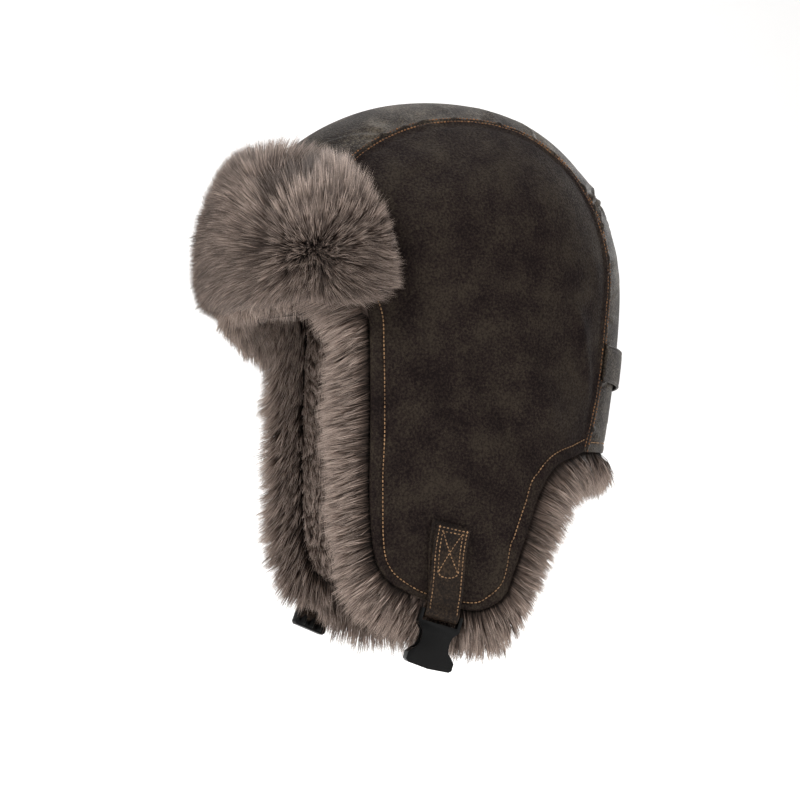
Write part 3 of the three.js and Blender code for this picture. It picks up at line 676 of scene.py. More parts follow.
def seam_relief(distance, along):
    """A seam that is opened and stitched down: a ridge beside a fine groove."""
    ridge = SEAM_RIDGE * dent(distance, 1.8, 1.5) - SEAM_GROOVE * dent(distance, 0, 0.6)
    dip = -SEAM_DIP * dent(distance, 5.5, 2.6)
    gather = waves(along + GATHER_SLANT * distance, SEAM_GATHERS)
    gather = gather * np.exp(-distance / GATHER_REACH) * smoothstep(distance, 0, 2)
    return ridge + dip + gather


# Soft folds of a panel: their two ends (y, z), their width and their height.
PANEL_FOLDS = [
    (-66, -30, -24, -86, 5.5, 3.0),
    (-68, -44, -30, -104, 5.5, -3.2),
    (-58, -64, -14, -124, 7.5, 2.6),
    (-8, -48, 22, -96, 7.0, -2.6),
    (16, -40, 42, -80, 8.0, 2.2),
    (60, -16, 72, -66, 5.0, 2.4),
    (-40, -110, -8, -148, 7.0, 0.4),
    (74, 20, 80, -10, 5.0, 1.0),
    (-50, 62, -20, 74, 6.0, 0.8),
]


def soft_dents(y, z):
    """The slow unevenness of leather over soft fur, with a few long folds."""
    slow = wander(y + 0.4 * z, 34, 11) + wander(z - 0.3 * y, 41, 12)
    height = 0.35 * slow + 0.2 * wander(0.8 * y - z, 17, 13)
    for y0, z0, y1, z1, width, tall in PANEL_FOLDS:
        way = np.array([y1 - y0, z1 - z0], float)
        length = np.hypot(*way)
        way /= length
        along = (y - y0) * way[0] + (z - z0) * way[1]
        off = (y - y0) * way[1] - (z - z0) * way[0] + 1.5 * wander(along, 14, int(100 + y0))
        fade = smoothstep(along, -8, 10) * smoothstep(length + 14 - along, 0, 26)
        height = height + tall * fade * dent(off, 0, width)
    return height


# %% A side panel's skin
EDGE_ROWS = np.array([0, 0.03, 0.13, 0.3, 0.6, 1.0])
BAND_ROWS = np.array([1.4, 2.1, 3.2, 4.4, 5.3, 5.9, 6.5, 7.1, 7.7, 8.8, 10.4, 12.2, BAND])
PANEL_RINGS = 26
BLENDED_POINTS = 9


def edge_rounding(distance, half=LEATHER / 2):
    """Share of half the thickness that is left this close to the edge."""
    share = np.clip(distance / half, 0, 1)
    return np.sqrt(1 - (1 - share) ** 2)


def inward_from(edge):
    """For each point of the outline how far the middle lies inwards, on the flat and as a
    factor that turns a distance on the curved face into one on the flat."""
    tangent = unit(np.roll(edge, -1, 0) - np.roll(edge, 1, 0))
    normal = np.stack([tangent[:, 1], -tangent[:, 0]], -1)
    span = np.einsum("ij,ij->i", edge - PANEL_MIDDLE, normal)
    if span.sum() < 0:
        normal, span = -normal, -span
    inside = side_point(*(edge - normal).T)
    slope = inside[:, 0] - side_point(*edge.T)[:, 0]
    return np.maximum(span, 12.0), 1 / np.sqrt(1 + slope**2)


def hem_widths(edge):
    """The hem's share of width at each point of the outline, and 1 on the seam."""
    free = FREE_STEPS + 1
    return np.r_[hem_share(np.linspace(0, 1, free)), np.ones(len(edge) - free)]


def shrunk(edge, share):
    """The outline's points, moved towards the panel's middle."""
    return PANEL_MIDDLE + (edge - PANEL_MIDDLE) * share


def side_panel(name):
    edge, _, on_seam = side_outline(SEAM_GAP, FREE_STEPS, SEAM_STEPS)
    span, flat = inward_from(edge)
    along = run_length(side_point(*edge.T))
    wide = hem_widths(edge)
    outer = []
    for distance in np.r_[EDGE_ROWS * LEATHER / 2, BAND_ROWS]:
        stretch = 1 + (wide - 1) * smoothstep(distance, 0.8, 5) * smoothstep(BAND - distance, 0, 6)
        share = 1 - distance * stretch * flat / span
        outer.append((np.full_like(share, distance), share))
    last = outer[-1][1]
    for step in np.linspace(1, 0, PANEL_RINGS)[1:-1]:
        share = last * step
        outer.append(((1 - share) * span / flat, share))
    top = []
    bottom = []
    past = BLENDED_POINTS // 2
    kernel = np.ones(BLENDED_POINTS) / BLENDED_POINTS
    blend = np.convolve(np.r_[on_seam[-past:], on_seam, on_seam[:past]], kernel, mode="valid")
    for distance, share in outer:
        at = shrunk(edge, share[:, None])
        face = side_point(*at.T)
        normal_3d = outward(face)
        half = LEATHER / 2 * edge_rounding(distance)
        relief = (1 - blend) * hem_relief(distance, along) + blend * seam_relief(distance, along)
        relief = relief + soft_dents(*at.T) * smoothstep(distance, 2, 20)
        relief = relief * smoothstep(distance, 0, LEATHER / 2)
        top.append(face + normal_3d * (half - LEATHER / 2 + relief)[:, None])
        bottom.append(face + normal_3d * (-half - LEATHER / 2)[:, None])
    centre = side_point(*PANEL_MIDDLE)
    raised = centre + outward(centre) * soft_dents(*PANEL_MIDDLE)
    rings = np.array([*top[::-1], *bottom[1::4]])
    return ring_skin(name, raised, rings, lifted(centre, -LEATHER), [PANEL_LEATHER])


left_panel = side_panel("left_panel_leather")
right_panel = mirrored(left_panel, "right_panel_leather")
placed(left_panel, "left_side_panel")
placed(right_panel, "right_side_panel")

# %% [markdown]
# ## The centre strip
# The strip over the middle is sewn in between the panels. The seams gather it, so
# creases run in from both of them at a slant, and its hem at the nape is turned in.
# The creases are placed at random with a fixed seed, each a ridge beside a valley.

# %% Creases and skin of the centre strip
NAPE_HEM = 6.0
NAPE_HEM_RISE = 0.3
CREASES = 54
CREASE_SEED = 21
CREASE_TURNS = (12, 262)
CREASE_SCATTER = 4
CREASE_SLANT = 26
CREASE_INWARD = (16, 60)
CREASE_WIDTH = (2.6, 4.8)
CREASE_HEIGHT = (0.7, 1.7)
CREASE_VALLEY = 0.7
CALMER_BACK = 0.5
MM_PER_DEGREE = 2.05
STRIP_WAVES = 0.3
STRIP_ROWS = 320
STRIP_COLUMNS = 45
HEM_ROWS = np.array([0, 0.05, 0.15, 0.3, 0.5])
SEAM_ROWS = np.array([1.3, 1.9, 2.8, 4, 5.5, 7.5])


def creases(count, seed):
    """Rows of turn, seam side, slant, reach inwards in mm, width in mm and height in mm."""
    chance = np.random.default_rng(seed)
    scatter = chance.uniform(-CREASE_SCATTER, CREASE_SCATTER, count)
    turn = np.linspace(*CREASE_TURNS, count) + scatter
    side = np.where(np.arange(count) % 2, 1, -1) * np.where(chance.random(count) < 0.15, -1, 1)
    slant = chance.uniform(-CREASE_SLANT, CREASE_SLANT, count)
    inward = chance.uniform(*CREASE_INWARD, count)
    width = chance.uniform(*CREASE_WIDTH, count)
    height = chance.uniform(*CREASE_HEIGHT, count)
    height = height * (1 - CALMER_BACK * smoothstep(turn, 150, 185))
    return np.stack([turn, side, slant, inward, width, height], -1)


def crease_relief(turn, x, from_left, from_right):
    height = np.zeros_like(x)
    for at, side, slant, inward, width, tall in creases(CREASES, CREASE_SEED):
        distance = from_left if side > 0 else from_right
        course = at + slant * distance / 50 + 1.5 * wander(distance + at, 9, int(at))
        off = (turn - course) * MM_PER_DEGREE / width
        fade = smoothstep(inward - distance, 0, inward * 0.75) * smoothstep(distance, 0, 3)
        height += tall * fade * (dent(off, 0, 1) - CREASE_VALLEY * dent(off, 1.7, 1))
    return height


def centre_strip(name):
    between = np.linspace(0.8, HEM_TURN - 0.8, STRIP_ROWS)
    turn = np.r_[HEM_ROWS, between, HEM_TURN - HEM_ROWS[::-1]]
    near_seam = np.r_[EDGE_ROWS * LEATHER / 2, SEAM_ROWS]
    turn_grid = turn[:, None]
    half = seam_x(turn_grid)
    share = np.linspace(-1, 1, STRIP_COLUMNS)[1:-1] * (half - near_seam[-1] - 1.6)
    x = np.hstack([-half + near_seam, share, half - near_seam[::-1]])
    turn_grid = np.broadcast_to(turn_grid, x.shape)
    face = strip_point(turn_grid, x)
    normal = outward(face)
    steep = np.clip(1 / np.maximum(normal[..., 2:3] ** 2, 0.35), 1, 2)[..., 0] ** 0.5
    from_left = (half - x) * steep
    from_right = (half + x) * steep
    nearest = np.minimum(from_left, from_right)
    along = np.broadcast_to(run_length(strip_point(turn, 0 * turn))[:, None], x.shape)
    from_hem = along[-1, 0] - along
    rounding = edge_rounding(np.minimum.reduce([half - np.abs(x), from_hem, along]))
    relief = seam_relief(nearest, along) + crease_relief(turn_grid, x, from_left, from_right)
    relief += NAPE_HEM_RISE * np.clip(1 - ((from_hem - NAPE_HEM / 2) / 3.2) ** 2, 0, 1)
    relief -= HEM_GROOVE * dent(from_hem, NAPE_HEM, 0.9)
    relief += STRIP_WAVES * wander(x, 19, 31) * wander(along, 27, 32)
    relief *= smoothstep(half - np.abs(x), 0, LEATHER / 2) * smoothstep(from_hem, 0, 0.8)
    top = face + normal * (LEATHER / 2 * (rounding - 1) + relief)[..., None]
    under = face - normal * (LEATHER / 2 * (rounding + 1))[..., None]
    return sheet_skin(name, top, under, STRIP_LEATHER)


placed(centre_strip("centre_strip_leather"), "centre_strip")

# %% [markdown]
# ## The loop across the back and the folded flap's leather
# The loop is a plain band, sewn in at both seams and slack between them. The folded
# flap's leather hardly shows behind its fur, and it keeps the fur off the crown.

# %% Back loop and brim leather
LOOP_WIDTH = 22.0
LOOP_DROP = 33.0
LOOP_STANDOFF = 1.4
LOOP_SAG = 3.0
LOOP_ROWS = np.array([1.4, 2, 2.6, 3.4])
BRIM_HEIGHT = 58.0
BRIM_DROP = 4.0
BRIM_ANGLE = 45.0
BRIM_CORNER = 24.0
BRIM_STANDOFF = 0.6
HALVINGS = 30
BROW_RADIUS = (CROWN_FRONT + CROWN_HALF_WIDTH) / 2


def back_loop(name):
    side = np.linspace(-1, 1, 81)[:, None]
    slack = 1 - side**2
    rows = np.r_[EDGE_ROWS * LEATHER / 2, LOOP_ROWS]
    down = np.r_[rows, np.linspace(5, LOOP_WIDTH - 5, 9), LOOP_WIDTH - rows[::-1]][None]
    turn = BACK_TURN + (HEM_TURN - BACK_TURN) * (LOOP_DROP + LOOP_SAG * slack + down) / NAPE_DROP
    point = strip_point(turn, side * (seam_x(turn) - 0.4))
    normal = outward(point)
    from_edge = np.minimum(down, LOOP_WIDTH - down) + 0 * side
    rounding = edge_rounding(from_edge)
    height = SEAM_GAP + BRIM_STANDOFF + LOOP_STANDOFF * slack + LEATHER / 2
    relief = 0.25 * wander(side * 60 + down, 13, 41) - 0.3 * dent(from_edge, 2.0, 0.5)
    relief = relief * smoothstep(from_edge, 0, 1)
    top = point + normal * (height + LEATHER / 2 * rounding + relief)[..., None]
    under = point + normal * (height - LEATHER / 2 * rounding)[..., None]
    return sheet_skin(name, top, under, STRIP_LEATHER)


def brow_point(angle, z):
    """Point of the crown's face at a plan angle from the front and a height."""
    angle, z = np.broadcast_arrays(np.asarray(angle, float), np.asarray(z, float))
    near = np.zeros_like(angle)
    far = near + 2 * CROWN_FRONT
    for _ in range(HALVINGS):
        reach = (near + far) / 2
        y = CROWN_AXIS_BEHIND - reach * np.cos(angle)
        inside = bulk(reach * np.sin(angle), y, z) < 1
        near = np.where(inside, reach, near)
        far = np.where(inside, far, reach)
    return np.stack([near * np.sin(angle), CROWN_AXIS_BEHIND - near * np.cos(angle), z], -1)


def brim_leather(name):
    along = np.linspace(-1, 1, 61)[:, None]
    angle = np.radians(BRIM_ANGLE) * along
    to_end = (1 - np.abs(along)) * np.radians(BRIM_ANGLE) * BROW_RADIUS
    short = np.maximum(0, BRIM_CORNER - to_end)
    height = BRIM_HEIGHT - BRIM_CORNER + np.sqrt(BRIM_CORNER**2 - short**2)
    point = brow_point(angle, -BRIM_DROP + height * np.linspace(0, 1, 13)[None])
    under = lifted(point, BRIM_STANDOFF)
    top = lifted(point, BRIM_STANDOFF + LEATHER)
    return loop_skin(name, np.concatenate([under, top[:, ::-1]], 1), [PANEL_LEATHER])


placed(back_loop("back_loop_leather"), "back_loop")
placed(brim_leather("brim_leather"), "brim_flap")

# %% [markdown]
# ## Straps
# Each strap is one strip of leather that runs down, round the buckle's bar and back
# up over itself, and is sewn down with a box and a cross. A section of the strip is
# swept along that path. The left one lies on the flap, and the right one leans
# forward over the fringe.

# %% Where a strap lies
STRAP_WIDTH = 19.5
STRAP_LAYER = 1.8
STRAP_TOP_DROP = 139.0
STRAP_FORE = 21.0
STRAP_CLEARANCE = 0.4
FLAT_FROM = 0.25
FLAT_TO = 0.55
SOCKET_STRAP = 51.0
PRONG_STRAP = 72.0
PRONG_BAR_BACK = 4.4
BAR = 2.4
BAR_EYE = 0.7
SOCKET_BENDS = ([0, 0.35, 0.7, 1], [14, 6, 6, 16.5])
PRONG_BENDS = ([0, 0.35, 0.7, 1], [20, 30, 30, 23])
UNDER_LAYER_SLIP = 2.6
STRAP_STEPS = 60
PRONG_STANDOFF = 4.5
PRONG_TWIST = 12


def strap_path(length, bends, standoff, twist):
    """Gives the place of a point u across the strap, d down it and o out from the flap."""
    steps = STRAP_STEPS
    lean = column(*bends)
    angles = np.radians(lean((np.arange(steps) + 0.5) / steps))
    moves = -np.stack([np.sin(angles), np.cos(angles)], -1) * length / steps
    line = np.vstack([[0, 0], np.cumsum(moves, 0)]) + (-STRAP_FORE, -STRAP_TOP_DROP)
    hung = line[round(FLAT_FROM * steps)]
    tangent = side_point(hung[0] + 0.5, hung[1])[0] - side_point(hung[0] - 0.5, hung[1])[0]
    end = line[-1]
    end_x = side_point(*hung)[0] + tangent * (end[0] - hung[0]) + standoff
    slope = np.tan(np.arctan(tangent) + np.radians(twist))
    plane_normal = unit(np.array([1, -slope, 0]))

    def place(u, d, o):
        u, d, o = np.broadcast_arrays(*(np.asarray(v, float) for v in (u, d, o)))
        inside = np.clip(d, 0, length)
        at = inside / length * steps
        low = np.minimum(np.floor(at).astype(int), steps - 1)
        angle = np.radians(lean(inside / length))
        spot = line[low] + (line[low + 1] - line[low]) * (at - low)[..., None]
        spot = spot - np.stack([np.sin(angle), np.cos(angle)], -1) * (d - inside)[..., None]
        spot = spot + np.stack([np.cos(angle), -np.sin(angle)], -1) * u[..., None]
        flat = smoothstep(d, FLAT_FROM * length, FLAT_TO * length)[..., None]
        curved = side_point(spot[..., 0], spot[..., 1])
        hanging_x = end_x + slope * (spot[..., 0] - end[0])
        hanging = np.concatenate([hanging_x[..., None], spot], -1)
        normal = unit(outward(curved) * (1 - flat) + plane_normal * flat)
        return curved * (1 - flat) + hanging * flat + normal * (STRAP_CLEARANCE + o)[..., None]

    return place


on_socket_strap = strap_path(SOCKET_STRAP, SOCKET_BENDS, 0, 0)
on_prong_strap = strap_path(PRONG_STRAP, PRONG_BENDS, PRONG_STANDOFF, PRONG_TWIST)


# %% A strap's skin
STRAP_SHEET = STRAP_LAYER * 0.96
STRAP_BEND = BAR / 2 + BAR_EYE + STRAP_SHEET / 2
STRAP_GROOVE = 0.18
STRAP_MARGIN = 1.8
STRAP_SIDE_ROWS = np.array([1.4, 1.9, 2.4, 3.2])
STRAP_WAVE = 0.12
SOCKET_EASE = 6.0
PRONG_EASE = 9.0


def strap_heights(down, length, bar_back):
    """How high the middles of the back and the front layer lie, down the strap."""
    middle = STRAP_LAYER - bar_back
    reach = PRONG_EASE if bar_back else SOCKET_EASE
    ease = smoothstep(down, length - reach, length - 0.4 * STRAP_BEND)
    back = STRAP_SHEET / 2 + (middle - STRAP_BEND - STRAP_SHEET / 2) * ease
    front = 1.5 * STRAP_LAYER + (middle + STRAP_BEND - 1.5 * STRAP_LAYER) * ease
    return back, front


def strap_section(length, bar_back):
    """Middle line (d, o) of the strip: down behind, round the bar and up in front."""
    down = np.linspace(0.2, length, 46)
    back, front = strap_heights(down, length, bar_back)
    turn = np.radians(np.linspace(-90, 90, 14)[1:-1])
    bend_d = length + STRAP_BEND * np.cos(turn)
    bend_o = STRAP_LAYER - bar_back + STRAP_BEND * np.sin(turn)
    return np.r_[np.c_[down, back], np.c_[bend_d, bend_o], np.c_[down, front][:0:-1]]


def strap(name, place, length, bar_back):
    line = strap_section(length, bar_back)
    tangent = unit(np.gradient(line, axis=0))
    sideways = np.stack([tangent[:, 1], -tangent[:, 0]], -1)
    half = STRAP_WIDTH / 2
    u = np.r_[EDGE_ROWS * STRAP_SHEET / 2, STRAP_SIDE_ROWS] - half
    u = np.r_[u, np.linspace(-5, 5, 7), -u[::-1]][None]
    from_side = half - np.abs(u)
    thick = STRAP_SHEET / 2 * edge_rounding(from_side, STRAP_SHEET / 2)
    thick = thick - STRAP_GROOVE * dent(from_side, STRAP_MARGIN, 0.5)
    outer = line[:, None] + sideways[:, None] * thick[..., None]
    inner = line[:, None] - sideways[:, None] * thick[..., None]
    wave = STRAP_WAVE * wander(line[:, :1] + u, 8, 51)
    behind = np.arange(len(line))[:, None] < len(line) // 2
    slipped = u - UNDER_LAYER_SLIP * behind * smoothstep(length - line[:, :1], 6, length)
    top = place(slipped, outer[..., 0], outer[..., 1] + wave)
    under = place(slipped, inner[..., 0], inner[..., 1] + wave)
    return sheet_skin(name, top, under, STRAP_LEATHER)


left_strap = strap("left_strap_leather", on_socket_strap, SOCKET_STRAP, 0)
right_like_left = strap("right_strap_draft", on_prong_strap, PRONG_STRAP, PRONG_BAR_BACK)
right_strap = mirrored(right_like_left, "right_strap_leather")
bpy.data.objects.remove(right_like_left)
placed(left_strap, "left_strap")
placed(right_strap, "right_strap")

# %% [markdown]
# ## The buckle
# A side-release buckle is moulded: its edges are softly rounded, and that rounding
# is what catches the light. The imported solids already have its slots, waist, prongs
# and guide, so a copy of each is cleaned of the diagonals on its flat faces and
# given a small bevel. Ribs and a thin plate then close the end of the prong half.


# %% Buckle halves
SAME_POINT = 0.01
FLAT_WITHIN = np.radians(2)
EDGE_OVER = np.radians(28)
SHARP_OVER = np.radians(40)


def moulded(name, node, bevel):
    mesh = frame["nodes"][node].data.copy()
    mesh.name = name
    mesh.materials.clear()
    mesh.materials.append(BUCKLE_PLASTIC)
    piece = new_object(name, mesh)
    weld = piece.modifiers.new("weld", "WELD")
    weld.merge_threshold = SAME_POINT / METRE
    flat = piece.modifiers.new("flat", "DECIMATE")
    flat.decimate_type = "DISSOLVE"
    flat.angle_limit = FLAT_WITHIN
    soften = piece.modifiers.new("soften", "BEVEL")
    soften.width = bevel / METRE
    soften.segments = 3
    soften.angle_limit = EDGE_OVER
    soften.use_clamp_overlap = True
    graph = bpy.context.evaluated_depsgraph_get()
    finished = bpy.data.meshes.new_from_object(piece.evaluated_get(graph), depsgraph=graph)
    piece.modifiers.clear()
    piece.data = finished
    finished.name = name
    finished.shade_smooth()
    finished.set_sharp_from_angle(angle=SHARP_OVER)
    return piece


placed(moulded("buckle_socket_plastic", "buckle_socket", 0.45), "buckle_socket")
placed(moulded("buckle_prongs_plastic", "buckle_prongs", 0.4), "buckle_prongs")

# %% Ribs at the end of the prong half
RIB_PLACES = (-6.6, 0.0, 6.6)
RIB_FROM = -4.5
RIB_TO = 7.6
RIB_HALF_WIDTH = 1.9
RIB_HALF_DEPTH = 3.6
PLATE_FROM = 2.9
PLATE_TO = 6.4
PLATE_HALF_DEPTH = 1.3


def pill(across, start, stop, half_width, half_depth):
    """Loops of a rounded bar down the prong half, from start to stop past its strap's end."""
    spin = np.linspace(0, 2 * np.pi, 25)[:-1][None]
    at = np.linspace(-1, 1, 17)[1:-1][:, None]
    full = (1 - at**8) ** 0.25
    along = PRONG_STRAP + (start + stop) / 2 + at * (stop - start) / 2 + 0 * spin
    u = across + half_width * full * rounded(np.cos(spin), 0.6)
    o = STRAP_LAYER - PRONG_BAR_BACK + half_depth * full * rounded(np.sin(spin), 0.6)
    return on_prong_strap(u, along, o)


def prong_ribs(name):
    """Ribs and the plate they stand on, between the strap's bar and the end bar."""
    bars = [pill(u, RIB_FROM, RIB_TO, RIB_HALF_WIDTH, RIB_HALF_DEPTH) for u in RIB_PLACES]
    bars.append(pill(0.0, PLATE_FROM, PLATE_TO, STRAP_WIDTH / 2, PLATE_HALF_DEPTH))
    points = []
    faces = []
    count = 0
    for bar in bars:
        part = loop_skin("bar", bar, [])
        here = np.array([v.co for v in part.data.vertices]) * (-METRE, METRE, METRE)
        points.append(here)
        faces.append(np.array([p.vertices for p in part.data.polygons])[:, ::-1] + count)
        count += len(here)
        bpy.data.objects.remove(part)
    return mesh_object(name, np.vstack(points), np.vstack(faces), [BUCKLE_PLASTIC])


placed(prong_ribs("buckle_ribs_plastic"), "buckle_prongs")

# %% [markdown]
# ## Stitches by Geometry Nodes
# A row of stitches is one short thread shape repeated along a line. The tree turns
# an edge path into a curve, sets points a stitch apart, puts the thread on each and
# gives it its material, so a whole row is one mesh.


# %% Geometry Nodes helpers
RANDOM_SEED = 8


def new_tree(name, inputs):
    """A geometry tree with a mesh in, a mesh out and named inputs."""
    tree = bpy.data.node_groups.new(name, "GeometryNodeTree")
    tree.interface.new_socket("Geometry", in_out="INPUT", socket_type="NodeSocketGeometry")
    for label, kind, value in inputs:
        made = tree.interface.new_socket(label, in_out="INPUT", socket_type=kind)
        if value is not None:
            made.default_value = value
    tree.interface.new_socket("Geometry", in_out="OUTPUT", socket_type="NodeSocketGeometry")
    return tree, tree.nodes.new("NodeGroupInput")


def random_value(tree, low, high, seed, kind="FLOAT"):
    """A random value for each point; a node has its own sockets for each kind."""
    first, second = {"FLOAT_VECTOR": (0, 1), "FLOAT": (2, 3), "INT": (4, 5)}[kind]
    inputs = {first: low, second: high, RANDOM_SEED: seed}
    return out(add(tree, "FunctionNodeRandomValue", inputs, data_type=kind))


def finish_tree(tree, geometry, material):
    """Gives the geometry its material and sends it out of the tree."""
    inputs = {"Geometry": geometry, "Material": material}
    dyed = add(tree, "GeometryNodeSetMaterial", inputs)
    end = tree.nodes.new("NodeGroupOutput")
    tree.links.new(out(dyed), end.inputs[0])
    return tree


def grown(source, tree, values, name):
    """Runs a tree on an object and gives the result as a plain mesh object."""
    modifier = source.modifiers.new(tree.name, "NODES")
    modifier.node_group = tree
    for item in tree.interface.items_tree:
        if item.in_out == "INPUT" and item.name in values:
            modifier[item.identifier] = values[item.name]
    graph = bpy.context.evaluated_depsgraph_get()
    mesh = bpy.data.meshes.new_from_object(
        source.evaluated_get(graph), preserve_all_data_layers=True, depsgraph=graph
    )
    mesh.name = name
    bpy.data.objects.remove(source)
    return new_object(name, mesh)


# %% The stitching tree
def stitch_tree():
    tree, given = new_tree(
        "stitch_row",
        [
            ("Thread", "NodeSocketObject", None),
            ("Pitch", "NodeSocketFloat", 0.0022),
            ("Material", "NodeSocketMaterial", None),
        ],
    )
    path = add(tree, "GeometryNodeMeshToCurve", {"Mesh": given.outputs["Geometry"]})
    points = add(
        tree,
        "GeometryNodeCurveToPoints",
        {"Curve": out(path), "Length": given.outputs["Pitch"]},
        mode="LENGTH",
    )
    thread = add(tree, "GeometryNodeObjectInfo", {"Object": given.outputs["Thread"]})
    spread = add(
        tree,
        "GeometryNodeInstanceOnPoints",
        {
            "Points": out(points, "Points"),
            "Instance": out(thread, "Geometry"),
            "Rotation": out(points, "Rotation"),
            "Scale": random_value(tree, 0.9, 1.06, 7),
        },
    )
    real = add(tree, "GeometryNodeRealizeInstances", {"Geometry": out(spread)})
    return finish_tree(tree, out(real), given.outputs["Material"])


STITCH_ROW = stitch_tree()
THREAD_SIDES = 5

# A stitch's length, its radius and the way from one to the next, in millimetres.
HEM_SEWING = (1.6, 0.36, 2.3)
SEAM_SEWING = (1.5, 0.46, 2.2)
STRAP_SEWING = (1.4, 0.34, 2.05)


def thread_shape(length, radius):
    """One stitch along Z: thick in the middle, pinched where it enters the leather."""
    at = np.array([-1, -0.6, 0.6, 1.0])
    wide = np.array([0.45, 1.0, 1.0, 0.45])
    spin = np.arange(THREAD_SIDES) * 2 * np.pi / THREAD_SIDES
    ring = np.stack([np.cos(spin), np.sin(spin)], -1)[None] * (wide * radius)[:, None, None]
    height = np.broadcast_to((at * length / 2)[:, None, None], (*ring.shape[:2], 1))
    rings = np.concatenate([ring, height], -1)
    caps = np.array([[0, 0, -length / 2], [0, 0, length / 2]])
    return ring_skin("stitch", caps[0], rings, caps[1], [])


def path_object(rows):
    """Edge paths from lists of points in millimetres."""
    points = np.vstack(rows)
    edges = []
    first = 0
    for row in rows:
        i = np.arange(first, first + len(row) - 1)
        edges.append(np.stack([i, i + 1], -1))
        first += len(row)
    mesh = bpy.data.meshes.new("path")
    mesh.from_pydata((points / METRE).tolist(), np.vstack(edges).tolist(), [])
    return new_object("path", mesh)


def across_hat(rows):
    return [row * (-1, 1, 1) for row in rows]


def stitch_rows(name, rows, sewing, material):
    length, radius, pitch = sewing
    thread = thread_shape(length, radius)
    values = {"Thread": thread, "Pitch": pitch / METRE, "Material": material}
    placed(grown(path_object(rows), STITCH_ROW, values, name), None)
    bpy.data.objects.remove(thread)


# %% Rows on the hems and seams
ROW_START = 5
INTO_SEAM = 5.5
THREAD_LIFT = 0.55
NAPE_SUNK = 0.2


def inset_row(distance, height, widths=1.0):
    """A row of points on the panel this far in from its edge, flat and lifted."""
    span, flat = inward_from(edge)
    at = shrunk(edge, (1 - distance * widths * flat / span)[:, None])
    return at, lifted(side_point(*at.T), height)


at, row = inset_row(HEM, 0, hem_widths(edge))
hem_row = lifted(row, soft_dents(*at.T) * 0.25 - 0.15)[ROW_START:FREE_STEPS]
last_point = hem_row[-1] + INTO_SEAM * unit(hem_row[-1] - hem_row[-4])
hem_row = np.vstack([hem_row, last_point])
panel_row = inset_row(TOPSTITCH, THREAD_LIFT)[1][FREE_STEPS + 2 :]
turns = np.linspace(1, HEM_TURN - 1, 400)
strip_row = lifted(strip_point(turns, seam_x(turns) - TOPSTITCH), THREAD_LIFT)
nape_x = np.linspace(-1, 1, 60) * (seam_x(263.0) - 4)
nape_turn = HEM_TURN - (HEM_TURN - BACK_TURN) * NAPE_HEM / NAPE_DROP
nape_row = lifted(strip_point(nape_turn, nape_x), -NAPE_SUNK)
stitch_rows("hem_stitches", [hem_row, *across_hat([hem_row]), nape_row], HEM_SEWING, HEM_THREAD)
seam_rows = [panel_row, strip_row]
stitch_rows("seam_stitches", seam_rows + across_hat(seam_rows), SEAM_SEWING, SEAM_THREAD)


# %% Rows on the straps
SEWN_FROM = 3.0
SEWN_TO = 2.5
BOX_INSET = 2.1
BOX_ROUNDING = 3.4
SOCKET_BOX_END = 27.0
PRONG_BOX_END = 30.0


def strap_rows(place, length, bar_back, box_end):
    """Both edges down to the buckle, then a box with a round foot and a cross in it."""

    def sewn(across, down):
        across, down = np.broadcast_arrays(np.asarray(across, float), np.asarray(down, float))
        _, front = strap_heights(down, length, bar_back)
        return place(across, down, front + STRAP_SHEET / 2 - 0.05)

    edge_u = STRAP_WIDTH / 2 - STRAP_MARGIN
    box_u = edge_u - BOX_INSET
    box_start = SEWN_FROM + BOX_INSET
    down = np.linspace(SEWN_FROM, length - SEWN_TO, 60)
    rows = [sewn(side * edge_u, down) for side in (-1, 1)]
    rows.append(sewn(np.linspace(-edge_u, edge_u, 12), SEWN_FROM))
    box = np.linspace(box_start, box_end, 30)
    rows += [sewn(side * box_u, box) for side in (-1, 1)]
    u = np.linspace(-box_u, box_u, 16)
    rows.append(sewn(u, box_start))
    rows.append(sewn(u, box_end + BOX_ROUNDING * np.sqrt(np.maximum(0, 1 - (u / box_u) ** 2))))
    cross = np.linspace(SEWN_FROM + 3, box_end - 0.5, 24)
    share = np.linspace(-1, 1, 24) * (box_u - 0.8)
    rows += [sewn(share, cross), sewn(-share, cross)]
    return rows


left_rows = strap_rows(on_socket_strap, SOCKET_STRAP, 0, SOCKET_BOX_END)
right_rows = across_hat(strap_rows(on_prong_strap, PRONG_STRAP, PRONG_BAR_BACK, PRONG_BOX_END))
stitch_rows("strap_stitches", left_rows + right_rows, STRAP_SEWING, HEM_THREAD)

# %% [markdown]
# ## The fur's undercoat
# Deep fur is dense at its roots, so light never reaches the backing. A dark, rough
# body a little smaller than the fur stands for that depth, and the hairs grow out
# of it. It is closed, as the solids are.

# %% Undercoat of the linings
LINING_FACE = LEATHER + SEAM_GAP + 0.8 * LEATHER
LINING_GAP = 0.9
CORE_DEPTH = 4.5
CORE_SHARE = 0.56
CORE_BACK = LINING_FACE + CORE_DEPTH + 1.5

# Round the undercoat's edge: the share of its reach, and the depth in millimetres.
SIDE_ROUND = [(0.2, 3.0), (0.55, 3.3), (0.85, 4.2), (1.0, 5.8), (0.8, 7.4), (0.4, 8.6)]
END_ROUND = [(0.3, 3.4), (0.75, 4.2), (1.0, 7.0), (0.75, 10.0), (0.3, 11.5)]


